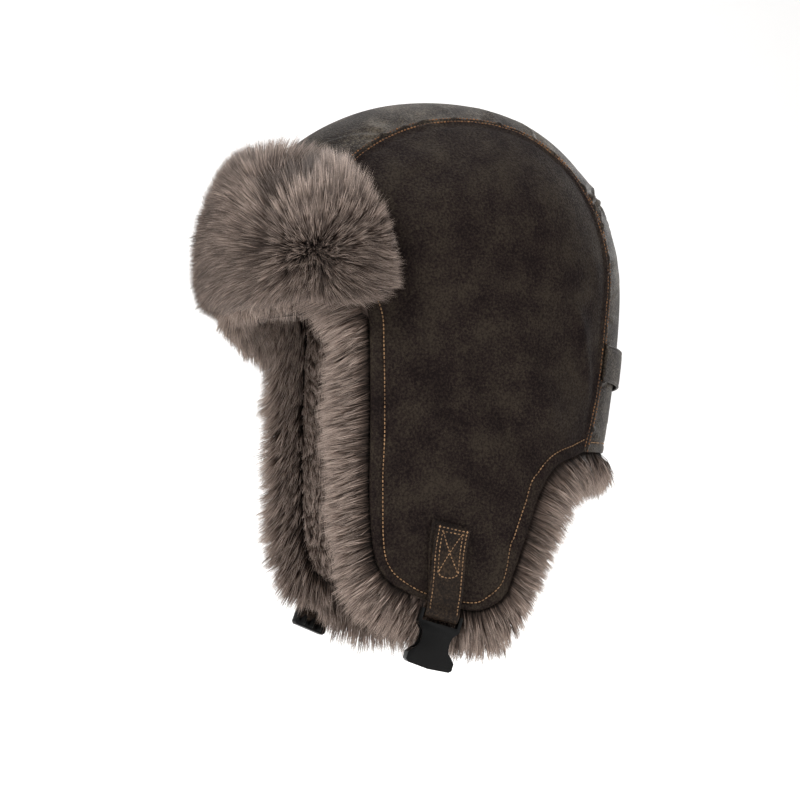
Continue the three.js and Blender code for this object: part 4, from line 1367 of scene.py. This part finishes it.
def side_undercoat(name):
    edge, reach, _ = side_outline(LINING_GAP, 150, 90)
    shares = np.linspace(0.08, 1, 12)
    places = [(shrunk(edge, share), LINING_FACE) for share in shares]
    places += [(edge + reach * CORE_SHARE * far, depth) for far, depth in SIDE_ROUND]
    places += [(shrunk(edge, share), CORE_BACK) for share in shares[::-1]]
    rings = np.array([lifted(side_point(*at.T), -depth) for at, depth in places])
    centre = side_point(*PANEL_MIDDLE)
    first, last = lifted(centre, -LINING_FACE), lifted(centre, -CORE_BACK)
    return ring_skin(name, first, rings, last, [UNDERCOAT])


def centre_undercoat(name):
    side = np.linspace(-1, 1, 41)[:, None]
    turn = np.linspace(0, HEM_TURN, 110)[None]
    over = strip_point(turn, side * seam_x(turn))

    def end(at, length, section):
        edge_points = strip_point(at, side * seam_x(at))
        rows = []
        for far, depth in section:
            moved = edge_points - np.array([0, 0, 1]) * length * CORE_SHARE * far
            rows.append(lifted(moved, -depth))
        return np.concatenate(rows, 1)

    outer = lifted(over, -LINING_FACE)
    hem = end(HEM_TURN, NAPE_FRINGE, END_ROUND)
    inner = lifted(over, -CORE_BACK)[:, ::-1]
    brow = end(0.0, BROW_FRINGE, END_ROUND[::-1])
    return loop_skin(name, np.concatenate([outer, hem, inner, brow], 1), [UNDERCOAT])


left_coat = side_undercoat("left_fur_undercoat")
right_coat = mirrored(left_coat, "right_fur_undercoat")
placed(left_coat, "left_lining")
placed(right_coat, "right_lining")
placed(centre_undercoat("centre_fur_undercoat"), "centre_lining")

# %% The folded flap's fur, as a surface
BRIM_FUR_DEPTH = 26.0
BRIM_FUR_OVER = 16.0
BRIM_FUR_UNDER = 14.0
BRIM_FUR_BULGE = 0.75
LOBE_ALONG = [0, 0.3, 0.5, 0.7, 0.86, 0.96, 1]
LOBE_HIGH = [1.03, 1.04, 1.0, 0.92, 0.7, 0.46, 0.26]
LOBE_DEEP = [0.98, 1.02, 0.86, 1.08, 1.0, 0.76, 0.46]
LOBE_SUNK = [-0.01, -0.01, 0.03, 0.14, 0.32, 0.46, 0.5]
lobe_high = column(LOBE_ALONG, LOBE_HIGH)
lobe_deep = column(LOBE_ALONG, LOBE_DEEP)
lobe_sunk = column(LOBE_ALONG, LOBE_SUNK)
CORE_HIGH = 0.8
CORE_DEEP = 0.62

# Creases between the lobes of the fur, drawn as a viewer in front of the left
# temple sees them: how far to that viewer's right, how high, half width and depth.
BRIM_CREASES = [
    ((-99.0, 50.0), (-60.0, 67.0), 3.6, 4.5),
    ((-99.0, 50.0), (-108.0, 4.0), 4.5, 3.0),
]
VIEWER_RIGHT = (0.342, 0.94)


def crease_places(points):
    """For each crease: how far above it a point lies, and 1 along it fading to 0 past its ends."""
    right = np.abs(points[..., 0]) * VIEWER_RIGHT[0] + points[..., 1] * VIEWER_RIGHT[1]
    high = points[..., 2]
    found = []
    for start, end, _, _ in BRIM_CREASES:
        way = np.subtract(end, start)
        length = np.hypot(*way)
        way = way / length
        along = (right - start[0]) * way[0] + (high - start[1]) * way[1]
        above = (high - start[1]) * way[0] - (right - start[0]) * way[1]
        found.append((above, smoothstep(along, -8, 4) * smoothstep(length - along, -4, 12)))
    return found


def crease_dip(points):
    dip = 0
    for (above, fade), (_, _, width, deep) in zip(crease_places(points), BRIM_CREASES):
        dip = dip + deep * fade * dent(above, 0, width)
    return dip


def brim_surface(along, spin, high_share, deep_share):
    """Point of the folded flap's fur; shares below 1 lie inside it."""
    place = np.abs(along)
    half = (BRIM_HEIGHT + BRIM_FUR_OVER + BRIM_FUR_UNDER) / 2
    middle = -BRIM_DROP - BRIM_FUR_UNDER + half
    base = BRIM_STANDOFF + LEATHER + 3 * SEAM_GAP
    end = np.radians(BRIM_ANGLE) + BRIM_FUR_OVER / BROW_RADIUS
    rise = rounded(np.sin(spin), BRIM_FUR_BULGE) * half * lobe_high(place) * high_share
    depth = (1 + rounded(np.cos(spin), BRIM_FUR_BULGE)) / 2
    point = brow_point(end * along, middle - half * lobe_sunk(place) + rise)
    height = base + depth * BRIM_FUR_DEPTH * lobe_deep(place) * deep_share
    return lifted(point, height - crease_dip(lifted(point, height)) * depth)


def brim_undercoat(name):
    along = np.linspace(-1, 1, 81)[:, None] * 0.9
    spin = np.linspace(0, 2 * np.pi, 37)[:-1][None]
    return loop_skin(name, brim_surface(along, spin, CORE_HIGH, CORE_DEEP), [UNDERCOAT])


placed(brim_undercoat("brim_fur_undercoat"), "brim_fur")

# %% [markdown]
# ## Hair by Geometry Nodes
# A fur is thousands of bent, tapered hairs that gather into pointed locks. A skin
# mesh tells each hair its way and its length through an attribute. The tree strews
# points on that skin, pulls every hair of a lock towards the lock's middle, aims a
# straight or a bent hair along it, and writes a small map on it for the colour.

# %% One hair
HAIR_SIDES = 3

# One hair in six is bent; the others are straight.
HAIR_SAGS = (0.0, 0.0, 0.0, 0.0, 0.0, 5.0)


def store(mesh, label, values):
    """Keeps a number, or a vector, for each point of a mesh."""
    single = np.ndim(values) == 1
    made = mesh.attributes.new(label, "FLOAT" if single else "FLOAT_VECTOR", "POINT")
    flat = np.ascontiguousarray(values, np.float32).ravel()
    made.data.foreach_set("value" if single else "vector", flat)


def hair_shape(name, sag):
    """A closed hair of radius 1 and length 1 along Z with its own map, bent by sag radii."""
    spin = np.arange(HAIR_SIDES) * 2 * np.pi / HAIR_SIDES
    ring = np.stack([np.cos(spin), np.sin(spin), 0 * spin], -1)
    rows = [ring * 0.8, ring + (-sag, 0, 0.5)] if sag else [ring]
    points = np.vstack([*rows, [[0, 0, 1.0]]])
    last = len(points) - 1
    faces = [[0, 2, 1]]
    for first in range(0, last, HAIR_SIDES):
        for k in range(HAIR_SIDES):
            near, far = first + k, first + (k + 1) % HAIR_SIDES
            if first + HAIR_SIDES < last:
                faces += [[near, far, far + HAIR_SIDES], [near, far + HAIR_SIDES, near + HAIR_SIDES]]
            else:
                faces.append([near, far, last])
    piece = mesh_object(name, points * METRE, np.array(faces), [])
    aside = np.tile([0.0, 0.33, 0.66], HAIR_SIDES)[: last + 1]
    store(piece.data, "along", points[:, 2])
    store(piece.data, "aside", aside)
    return piece


def hair_collection(name):
    made = bpy.data.collections.new(name)
    for k, sag in enumerate(HAIR_SAGS):
        hair = hair_shape(f"{name}_{k}", sag)
        bpy.context.scene.collection.objects.unlink(hair)
        made.objects.link(hair)
    return made


HAIRS = hair_collection("hair")


# %% The fur tree
# What a fur has where nothing else is asked: sizes in metres, and a share of pull.
FUR_VALUES = {
    "Width": 0.0003,
    "Lock Size": 0.0034,
    "Lock Pull": 0.6,
    "Tuft": 0.003,
    "Fluff": 0.0016,
    "Sweep": 0.012,
}


def attribute(tree, name, kind):
    return out(add(tree, "GeometryNodeInputNamedAttribute", {"Name": name}, data_type=kind))


def vector(tree, operation, first, second):
    key = "Scale" if operation == "SCALE" else 1
    return out(add(tree, "ShaderNodeVectorMath", {0: first, key: second}, operation=operation))


def hair_aim(tree, asked, here, lock):
    """Where a hair's tip lies from its root: combed, drawn into its lock, a little astray."""
    middle = (0.5, 0.5, 0.5)
    to_lock = vector(tree, "SUBTRACT", out(lock, "Position"), here)
    lock_chance = vector(tree, "SUBTRACT", out(lock, "Color"), middle)
    hair_chance = random_value(tree, (-1, -1, -1), (1, 1, 1), asked["Seed"], "FLOAT_VECTOR")
    drift = add(tree, "ShaderNodeTexNoise", {"Vector": here, "Scale": 60.0, "Detail": 1.0})
    drift_chance = vector(tree, "SUBTRACT", out(drift, "Color"), middle)
    length_chance = random_value(tree, 0.8, 1.05, 77)
    comb = vector(tree, "SCALE", attribute(tree, "comb", "FLOAT_VECTOR"), length_chance)
    pull = vector(tree, "SCALE", to_lock, asked["Lock Pull"])
    tuft = vector(tree, "SCALE", lock_chance, asked["Tuft"])
    fluff = vector(tree, "SCALE", hair_chance, asked["Fluff"])
    sweep = vector(tree, "SCALE", drift_chance, asked["Sweep"])
    small = vector(tree, "ADD", vector(tree, "ADD", tuft, fluff), sweep)
    return vector(tree, "ADD", vector(tree, "ADD", comb, pull), small)


def hair_tone(tree, lock):
    """How pale a hair is: by its lock, by chance and by the light and shade painted on its skin."""
    lock_parts = add(tree, "ShaderNodeSeparateXYZ", {0: out(lock, "Color")})
    lock_tone = maths(tree, "MULTIPLY", out(lock_parts, "X"), 0.4)
    tone = maths(tree, "ADD", lock_tone, random_value(tree, -0.42, 0.42, 9))
    tone = maths(tree, "ADD", tone, attribute(tree, "shade", "FLOAT"))
    return out(add(tree, "ShaderNodeClamp", {"Value": tone, "Min": 0.0, "Max": 0.98}))


def fur_tree():
    tree, given = new_tree(
        "fur",
        [
            ("Hairs", "NodeSocketCollection", None),
            ("Density", "NodeSocketFloat", 1.0),
            ("Seed", "NodeSocketInt", 1),
            *[(label, "NodeSocketFloat", value) for label, value in FUR_VALUES.items()],
            ("Material", "NodeSocketMaterial", None),
        ],
    )
    asked = given.outputs
    density = maths(tree, "MULTIPLY", asked["Density"], attribute(tree, "thick", "FLOAT"))
    strewn = add(
        tree,
        "GeometryNodeDistributePointsOnFaces",
        {"Mesh": asked["Geometry"], "Density": density, "Seed": asked["Seed"]},
    )
    here = out(add(tree, "GeometryNodeInputPosition"))
    lock_scale = maths(tree, "DIVIDE", 1.0, asked["Lock Size"])
    lock = add(tree, "ShaderNodeTexVoronoi", {"Vector": here, "Scale": lock_scale})
    aim = hair_aim(tree, asked, here, lock)
    length = add(tree, "ShaderNodeVectorMath", {0: aim}, operation="LENGTH")
    upright = add(tree, "FunctionNodeAlignRotationToVector", {"Vector": aim}, axis="Z")
    turned = add(
        tree,
        "FunctionNodeAlignRotationToVector",
        {"Rotation": out(upright), "Vector": attribute(tree, "droop", "FLOAT_VECTOR")},
        axis="X",
        pivot_axis="Z",
    )
    hairs = add(
        tree,
        "GeometryNodeCollectionInfo",
        {"Collection": asked["Hairs"], "Separate Children": True, "Reset Children": True},
    )
    width = maths(tree, "MULTIPLY", asked["Width"], random_value(tree, 0.75, 1.2, 6))
    size = add(tree, "ShaderNodeCombineXYZ", {"X": width, "Y": width, "Z": out(length, "Value")})
    toned = add(
        tree,
        "GeometryNodeStoreNamedAttribute",
        {"Geometry": out(strewn, "Points"), "Name": "tone", "Value": hair_tone(tree, lock)},
        data_type="FLOAT",
        domain="POINT",
    )
    spread = add(
        tree,
        "GeometryNodeInstanceOnPoints",
        {
            "Points": out(toned),
            "Instance": out(hairs),
            "Pick Instance": True,
            "Instance Index": random_value(tree, 0, len(HAIR_SAGS) - 1, 5, "INT"),
            "Rotation": out(turned),
            "Scale": out(size),
        },
    )
    real = add(tree, "GeometryNodeRealizeInstances", {"Geometry": out(spread)})
    tone = attribute(tree, "tone", "FLOAT")
    across = maths(tree, "MULTIPLY_ADD", attribute(tree, "aside", "FLOAT"), 0.01, tone)
    along = attribute(tree, "along", "FLOAT")
    hair_map = add(tree, "ShaderNodeCombineXYZ", {"X": across, "Y": along})
    mapped = add(
        tree,
        "GeometryNodeStoreNamedAttribute",
        {"Geometry": out(real), "Name": "OFBake", "Value": out(hair_map)},
        data_type="FLOAT2",
        domain="CORNER",
    )
    smooth = add(tree, "GeometryNodeSetShadeSmooth", {0: out(mapped)})
    return finish_tree(tree, out(smooth), asked["Material"])


FUR = fur_tree()


# %% Skins that carry the hair
def skin_object(points, comb, droop, thick, shade):
    """An open grid whose points carry the hair's way, bend, density and paleness with painted light
    and shade.
    """
    rows, count = points.shape[:2]
    index = np.arange(rows * count).reshape(rows, count)
    quads = np.stack([index[:-1, :-1], index[1:, :-1], index[1:, 1:], index[:-1, 1:]], -1)
    mesh = bpy.data.meshes.new("skin")
    mesh.from_pydata((points.reshape(-1, 3) / METRE).tolist(), [], quads.reshape(-1, 4).tolist())
    thick, shade = (np.broadcast_to(values, (rows, count)) for values in (thick, shade))
    store(mesh, "comb", comb.reshape(-1, 3) / METRE)
    store(mesh, "droop", droop.reshape(-1, 3))
    store(mesh, "thick", thick.ravel())
    store(mesh, "shade", shade.ravel())
    area = sum(polygon.area for polygon in mesh.polygons)
    return new_object("skin", mesh), area * float(np.mean(thick))


def grow_fur(name, node, skin, count, **values):
    """Grows about this many hairs on a skin."""
    piece, area = skin
    hairs = count
    chosen = {"Hairs": HAIRS, "Density": hairs / area, "Material": HAIR}
    chosen.update({label.replace("_", " "): value for label, value in values.items()})
    return placed(grown(piece, FUR, chosen, name), node)


# %% [markdown]
# ## Fur of the folded flap
# The photographed flap shows two soft lobes. Hair spreads from a whorl in each, so
# it points straight out at the whorl and lies more and more sideways round it. The
# comb is therefore the way out of the skin plus the way from the nearest whorls.

# %% Comb and grow the folded flap
WHORL = np.array([84.0, -104.0, 6.0])
FAN = np.array([54.0, -125.0, 50.0])
CREASE_UP = np.array([-0.36, -0.14, 0.87])
TOWARDS_MIDDLE = np.array([-0.34, -0.94, 0.0])
WHORL_REACH = 30.0
FAN_REACH = 16.0
BRIM_SIDEWAYS = 19.0
BRIM_HAIR_RISE = 0.6
BRIM_FUR_SPIN = 0.62 * np.pi
# How much paler hair at a lobe's edge is painted, as a highlight, and how much darker it is painted
# as shade just above the crease and in the valley.
LOBE_EDGE_HIGHLIGHT = 0.22
LOBE_SHADE = 0.6
VALLEY_SHADE = 0.3
OVERLAPPED_LESS = 0.85
BRIM_FUR_VALUES = {"Width": 0.00021, "Lock_Size": 0.0028, "Fluff": 0.002, "Sweep": 0.009}


def spread_from(centre, points, normal, reach):
    """The way along the skin from a centre, growing from 0 there to 1 at its reach."""
    away = points - centre
    away = away - normal * np.einsum("...i,...i->...", away, normal)[..., None]
    distance = np.linalg.norm(away, axis=-1)
    return unit(away) * smoothstep(distance, 0, reach)[..., None]


def whorl_comb(points, normal):
    """The way in which the fur lies at each point of the flap."""
    mirror = np.where(points[..., :1] < 0, -1, 1) ** np.array([1, 0, 0])
    left = points * mirror
    facing = normal * mirror
    from_fan = left - FAN
    above = smoothstep(from_fan @ CREASE_UP, -2, 3)
    beyond = smoothstep(from_fan @ TOWARDS_MIDDLE, 2, 26)
    share = np.maximum(above, 0.6 * beyond)[..., None]
    way = spread_from(WHORL, left, facing, WHORL_REACH) * (1 - share)
    way = way + spread_from(FAN, left, facing, FAN_REACH) * share
    meeting = smoothstep(left[..., 0], 0, 14)
    way[..., 0] *= meeting * np.sign(points[..., 0])
    return way


def moved_on_brim(along, spin, sideways):
    """The point of the fur's outer form that lies this way from the given place."""
    step = 0.01
    ways = []
    for ahead, behind in (((step, 0), (-step, 0)), ((0, step), (0, -step))):
        more = brim_surface(along + ahead[0], spin + ahead[1], 1.0, 1.0)
        less = brim_surface(along + behind[0], spin + behind[1], 1.0, 1.0)
        way = (more - less) / (2 * step)
        ways.append(np.einsum("...i,...i->...", sideways, way) / (way**2).sum(-1))
    return brim_surface(np.clip(along + ways[0], -1, 1), spin + ways[1], 1.0, 1.0)


def brim_skin(start, stop):
    along = np.linspace(start, stop, 90)[:, None]
    spin = np.linspace(-BRIM_FUR_SPIN, BRIM_FUR_SPIN, 56)[None]
    root = brim_surface(along * 0.95, spin, CORE_HIGH, CORE_DEEP)
    normal = unit(brim_surface(along, spin, 1.0, 1.0) - root)
    sideways = whorl_comb(root, normal) * BRIM_SIDEWAYS
    comb = moved_on_brim(along, spin, sideways) + normal * BRIM_HAIR_RISE - root
    droop = -normal + np.array([0, 0, 0.2])
    # The hairs' paleness is a little lower towards the flap's middle. It also holds painted light and
    # shade: a painted highlight on tips that end at the lower lobe's edge, painted shade just above
    # that crease, and painted shade in the valley.
    shade = 0.05 - 0.03 * smoothstep(np.abs(along), 0.5, 0.0) + 0 * spin
    (over_lobe, lobe_edge), (over_valley, valley) = crease_places(root + comb)
    shade += lobe_edge * LOBE_EDGE_HIGHLIGHT * dent(over_lobe, -5, 4)
    shade -= lobe_edge * LOBE_SHADE * dent(over_lobe, 7, 6)
    shade -= valley * VALLEY_SHADE * dent(over_valley, 0, 7)
    (below_edge, lobe_edge), _ = crease_places(root)
    overlapped = smoothstep(below_edge, -15, -11) * smoothstep(-below_edge, 0, 2)
    thick = 1 - OVERLAPPED_LESS * lobe_edge * overlapped
    return skin_object(root, comb, droop, thick, shade)


left_brim, right_brim = brim_skin(0, 1), brim_skin(-1, 0)
grow_fur("brim_fur_left", "brim_fur", left_brim, 34000, Seed=3, **BRIM_FUR_VALUES)
grow_fur("brim_fur_right", "brim_fur", right_brim, 19500, Seed=4, **BRIM_FUR_VALUES)

# %% [markdown]
# ## Fringes
# Round every free edge the lining's fur stands out from under the leather. Its
# outer hairs lie nearly flat and its inner hairs turn in towards the face. The skin
# is a narrow band tucked under the edge, and each hair's comb runs from its place
# there to its place on the fringe's outer form.

# %% Grow the fringes of the flaps
# Round the fringe's section from the leather to the inside: how far out and how
# high the roots and the tips lie, as shares of the fringe's length and depth.
SECTION_ROUND = [0, 0.25, 0.5, 0.7, 0.85, 1]
root_out = column(SECTION_ROUND, [-0.04, 0.22, 0.46, 0.54, 0.42, 0.1])
root_lift = column(SECTION_ROUND, [-0.12, -0.06, -0.16, -0.38, -0.54, -0.62])
tip_out = column(SECTION_ROUND, [0.5, 0.86, 1.06, 1.06, 0.86, 0.46])
tip_lift = column(SECTION_ROUND, [0.24, 0.2, -0.12, -0.46, -0.78, -0.9])

# The near flap's fur turns in early; the far one's is longer, deeper and hangs.
near_tip_out = column(SECTION_ROUND, [0.5, 0.86, 1.05, 0.96, 0.76, 0.4])
NEAR_DEPTH, FAR_DEPTH = 0.6, 1.0
NEAR_HANG, FAR_HANG = 2.0, 8.0
FAR_LENGTH = 1.14
FRONT_REACH = np.array([-25.0, -13.0])
UNDER_BRIM = 5.0

# Where the buckle halves lie over the fringes, in the side view.
SOCKET_TOP = (-33, -190)
SOCKET_LEAN = 0.3
SOCKET_CLEAR = 24
PRONGS_PLACE = (-46, 9)
PRONGS_SHORTEN = 0.48


def fringe_density_and_painted_light(across, painted_light_rows):
    """Density and paleness of a fringe, from its leather to its inside. The paleness is painted light
    and shade: paler rows in the outer middle, darker rows by the leather and inside.
    """
    return 1.2 - 0.5 * across, 0.08 + painted_light_rows * dent(across, 0.42, 0.3)


def side_fringe_skin(pressed_by_buckle, longer, tips, deep, hang):
    edge, reach, _ = side_outline(LINING_GAP, FREE_STEPS, 90)
    edge, reach = edge[: FREE_STEPS + 1, None], reach[: FREE_STEPS + 1, None]
    near_brow = 0.9 * smoothstep(edge[..., 1:], -42, -10) * (edge[..., :1] < 0)
    reach = reach * (1 - near_brow) + FRONT_REACH * near_brow
    across = np.linspace(0, 1, 14)[None]
    at = edge + reach * root_out(across)[..., None]
    end = edge + reach * longer(edge) * tips(across)[..., None]
    low = smoothstep(-end[..., 1], 0, BROW_FRINGE + BRIM_FUR_UNDER)
    under_brim = UNDER_BRIM * np.where(end[..., 0] < 0, 1 - low, 0)
    heights = []
    for share in (root_lift(across), tip_lift(across)):
        share = np.where(share < -0.1, -0.1 + (share + 0.1) * deep, share)
        height = share * FRINGE_DEPTH - under_brim
        heights.append(height - pressed_by_buckle(end) * np.maximum(0, height + 4))
    root = lifted(side_point(at[..., 0], at[..., 1]), heights[0])
    tip = lifted(side_point(end[..., 0], end[..., 1]), heights[1])
    tip = tip - np.array([0, 0, hang]) * smoothstep(across, 0.3, 0.7)[..., None]
    return root, tip - root, -outward(root), *fringe_density_and_painted_light(across, 0.32)


def under_socket(end):
    """1 where the left buckle half and its strap lie over the fringe."""
    y, z = end[..., 0], end[..., 1]
    middle = SOCKET_TOP[0] - SOCKET_LEAN * (SOCKET_TOP[1] - z)
    across = smoothstep(SOCKET_CLEAR - np.abs(y - middle), 0, 9)
    return across * smoothstep(-z, 165, 180)


def nothing_over(end):
    return 0 * end[..., 0]


def mirrored_skin(root, comb, droop, thick, shade):
    return root * (-1, 1, 1), comb * (-1, 1, 1), droop * (-1, 1, 1), thick, shade


def full_length(edge):
    return np.ones_like(edge[..., :1])


def short_at_prongs(edge):
    """The right fur is longer, but for the place where its buckle half hangs."""
    y, z = edge[..., :1], edge[..., 1:]
    at_buckle = dent(y, *PRONGS_PLACE) * smoothstep(-z, 150, 170)
    return FAR_LENGTH - PRONGS_SHORTEN * at_buckle


left_fringe = side_fringe_skin(under_socket, full_length, near_tip_out, NEAR_DEPTH, NEAR_HANG)
right_fringe = mirrored_skin(
    *side_fringe_skin(nothing_over, short_at_prongs, tip_out, FAR_DEPTH, FAR_HANG)
)
grow_fur("left_fringe_fur", "left_lining", skin_object(*left_fringe), 24000, Seed=11)
grow_fur("right_fringe_fur", "right_lining", skin_object(*right_fringe), 17500, Seed=12)


# %% Grow the fringes of the brow and nape
def end_fringe_skin(turn, length, pressed):
    side = np.linspace(-1, 1, 80)[:, None]
    press = pressed(side)
    across = np.linspace(0, 1, 12)[None]
    edge = strip_point(turn, side * (seam_x(turn) + 3)) + 0 * across[..., None]
    down = np.array([0, 0, -1.0]) * length(side)[..., None]
    root_height = root_lift(across) * FRINGE_DEPTH - press
    tip_height = tip_lift(across) * FRINGE_DEPTH - press
    root = lifted(edge + down * root_out(across)[..., None], root_height)
    tip = lifted(edge + down * tip_out(across)[..., None], tip_height)
    return root, tip - root, -outward(root), *fringe_density_and_painted_light(across, 0.28)


# The photographed fur hangs lower over the right brow than over the left.
brow_length = column([-1, -0.75, -0.5, -0.3, 0, 1], [46, 38, 33, 28, 22, 19])
brow_press = column([-1, -0.6, 0, 0.6, 1], [-3, -8, -5, 2, 3.5])
brow_skin = end_fringe_skin(0.0, brow_length, brow_press)
nape_length = column([-1, 1], [NAPE_FRINGE, NAPE_FRINGE])
nape_press = column([-1, 1], [0, 0])
nape_skin = end_fringe_skin(HEM_TURN, nape_length, nape_press)
grow_fur("brow_fringe_fur", "centre_lining", skin_object(*brow_skin), 10000, Seed=13)
grow_fur("nape_fringe_fur", "centre_lining", skin_object(*nape_skin), 6500, Seed=14)


# %% [markdown]
# ## Fur inside the flaps
# The inside of the flaps is the same fur, lying down and a little forward. It shows
# between the two flaps, most of all near their front edges, so it is thickest there.

# %% Grow the inner fur
INNER_COMB = np.array([0, -3.0, -10.0])
INNER_LOCK = 0.004
INNER_STEPS = 120


def inner_skin(outermost, rise, shade):
    edge, _, _ = side_outline(LINING_GAP, INNER_STEPS, 60)
    edge = edge[: INNER_STEPS + 1, None]
    at = shrunk(edge, np.linspace(0.3, outermost, 24)[None, :, None])
    face = side_point(at[..., 0], at[..., 1])
    root = lifted(face, -LINING_FACE - CORE_DEPTH)
    inward = -outward(face)
    comb = inward * rise + INNER_COMB
    ahead = smoothstep(-at[..., 0], -10, 45)
    thick = 0.15 + ahead * smoothstep(-at[..., 1], -20, 20)
    return root, comb, -inward, thick, shade + 0 * thick


# The near flap's inner fur is painted darker as shade between the flaps; the far flap's is painted
# paler as light falling on it.
left_inner = skin_object(*inner_skin(0.84, 2.0, -0.3))
right_inner = skin_object(*mirrored_skin(*inner_skin(1.0, 6.0, 0.5)))
grow_fur("left_inner_fur", "left_lining", left_inner, 3000, Seed=15, Lock_Size=INNER_LOCK)
grow_fur("right_inner_fur", "right_lining", right_inner, 12000, Seed=16, Lock_Size=INNER_LOCK)
for hair in list(HAIRS.objects):
    bpy.data.objects.remove(hair)
bpy.data.collections.remove(HAIRS)

# %% [markdown]
# ## Floor, light and camera
# The photograph is a product picture on white: soft light from all round, a little
# stronger from above and in front. A large curved sheet stands for floor and wall.

# %% Floor and backdrop
FLOOR_Z = -0.33
SHEET_HALF_WIDTH = 6.0
PAPER_GLOW = 0.3

# The sheet's run, in metres: away from the camera, and up.
SHEET_RUN = [(-6.0, 0.0), (0.8, 0.0), (1.4, 0.06), (1.9, 0.3), (2.15, 0.8), (2.2, 4.0)]


def studio_sheet():
    points = []
    for away, up in SHEET_RUN:
        for side in (-SHEET_HALF_WIDTH, SHEET_HALF_WIDTH):
            points.append((-away, side, FLOOR_Z + up))
    faces = [(2 * k, 2 * k + 1, 2 * k + 3, 2 * k + 2) for k in range(len(SHEET_RUN) - 1)]
    mesh = bpy.data.meshes.new("studio_sheet")
    mesh.from_pydata(points, [], faces)
    mesh.shade_smooth()
    material, _, shader = new_material("pale_paper", 0.9, 0.5)
    shader.inputs["Base Color"].default_value = colour(244, 243, 242)
    shader.inputs["Emission Color"].default_value = (1, 1, 1, 1)
    shader.inputs["Emission Strength"].default_value = PAPER_GLOW
    mesh.materials.append(material)
    new_object("studio_sheet", mesh)


studio_sheet()


# %% Lights and camera
HAT_MIDDLE = Vector((-0.0072, -0.0198, -0.065))
CAMERA_AZIMUTH = np.radians(70)
CAMERA_ELEVATION = np.radians(-3)
CAMERA_LENS = 73.05
SENSOR_WIDTH = 36.0
ROOM_LIGHT = 0.44

# Each light's name, place in metres, width in metres and power in watts.
LIGHTS = [
    ("key", (0.9, -1.45, 1.1), 0.9, 27),
    ("fill", (1.6, 0.9, 0.3), 1.4, 8),
    ("top", (-0.2, 0.2, 1.6), 0.8, 18),
    ("rim", (-0.7, 1.4, 0.7), 0.8, 9),
]


def soft_light(name, place, size, power):
    lamp = bpy.data.lights.new(name, "AREA")
    lamp.shape = "DISK"
    lamp.size = size
    lamp.energy = power
    light = new_object(name, lamp)
    light.location = place
    light.rotation_euler = (HAT_MIDDLE - Vector(place)).to_track_quat("-Z", "Y").to_euler()


for name, place, size, power in LIGHTS:
    soft_light(name, place, size, power)

world = bpy.data.worlds.new("studio")
world.use_nodes = True
surroundings = world.node_tree.nodes["Background"]
surroundings.inputs["Color"].default_value = (1, 1, 1, 1)
surroundings.inputs["Strength"].default_value = ROOM_LIGHT
bpy.context.scene.world = world
bpy.context.scene.view_settings.view_transform = "Standard"

camera_data = bpy.data.cameras.new("camera")
camera_data.lens = CAMERA_LENS
camera_data.sensor_width = SENSOR_WIDTH
camera = new_object("camera", camera_data)
back_from_hat = Vector(
    (
        np.sin(CAMERA_AZIMUTH) * np.cos(CAMERA_ELEVATION),
        -np.cos(CAMERA_AZIMUTH) * np.cos(CAMERA_ELEVATION),
        np.sin(CAMERA_ELEVATION),
    )
)
camera.location = HAT_MIDDLE + back_from_hat
camera.rotation_euler = (-back_from_hat).to_track_quat("-Z", "Y").to_euler()
bpy.context.scene.camera = camera
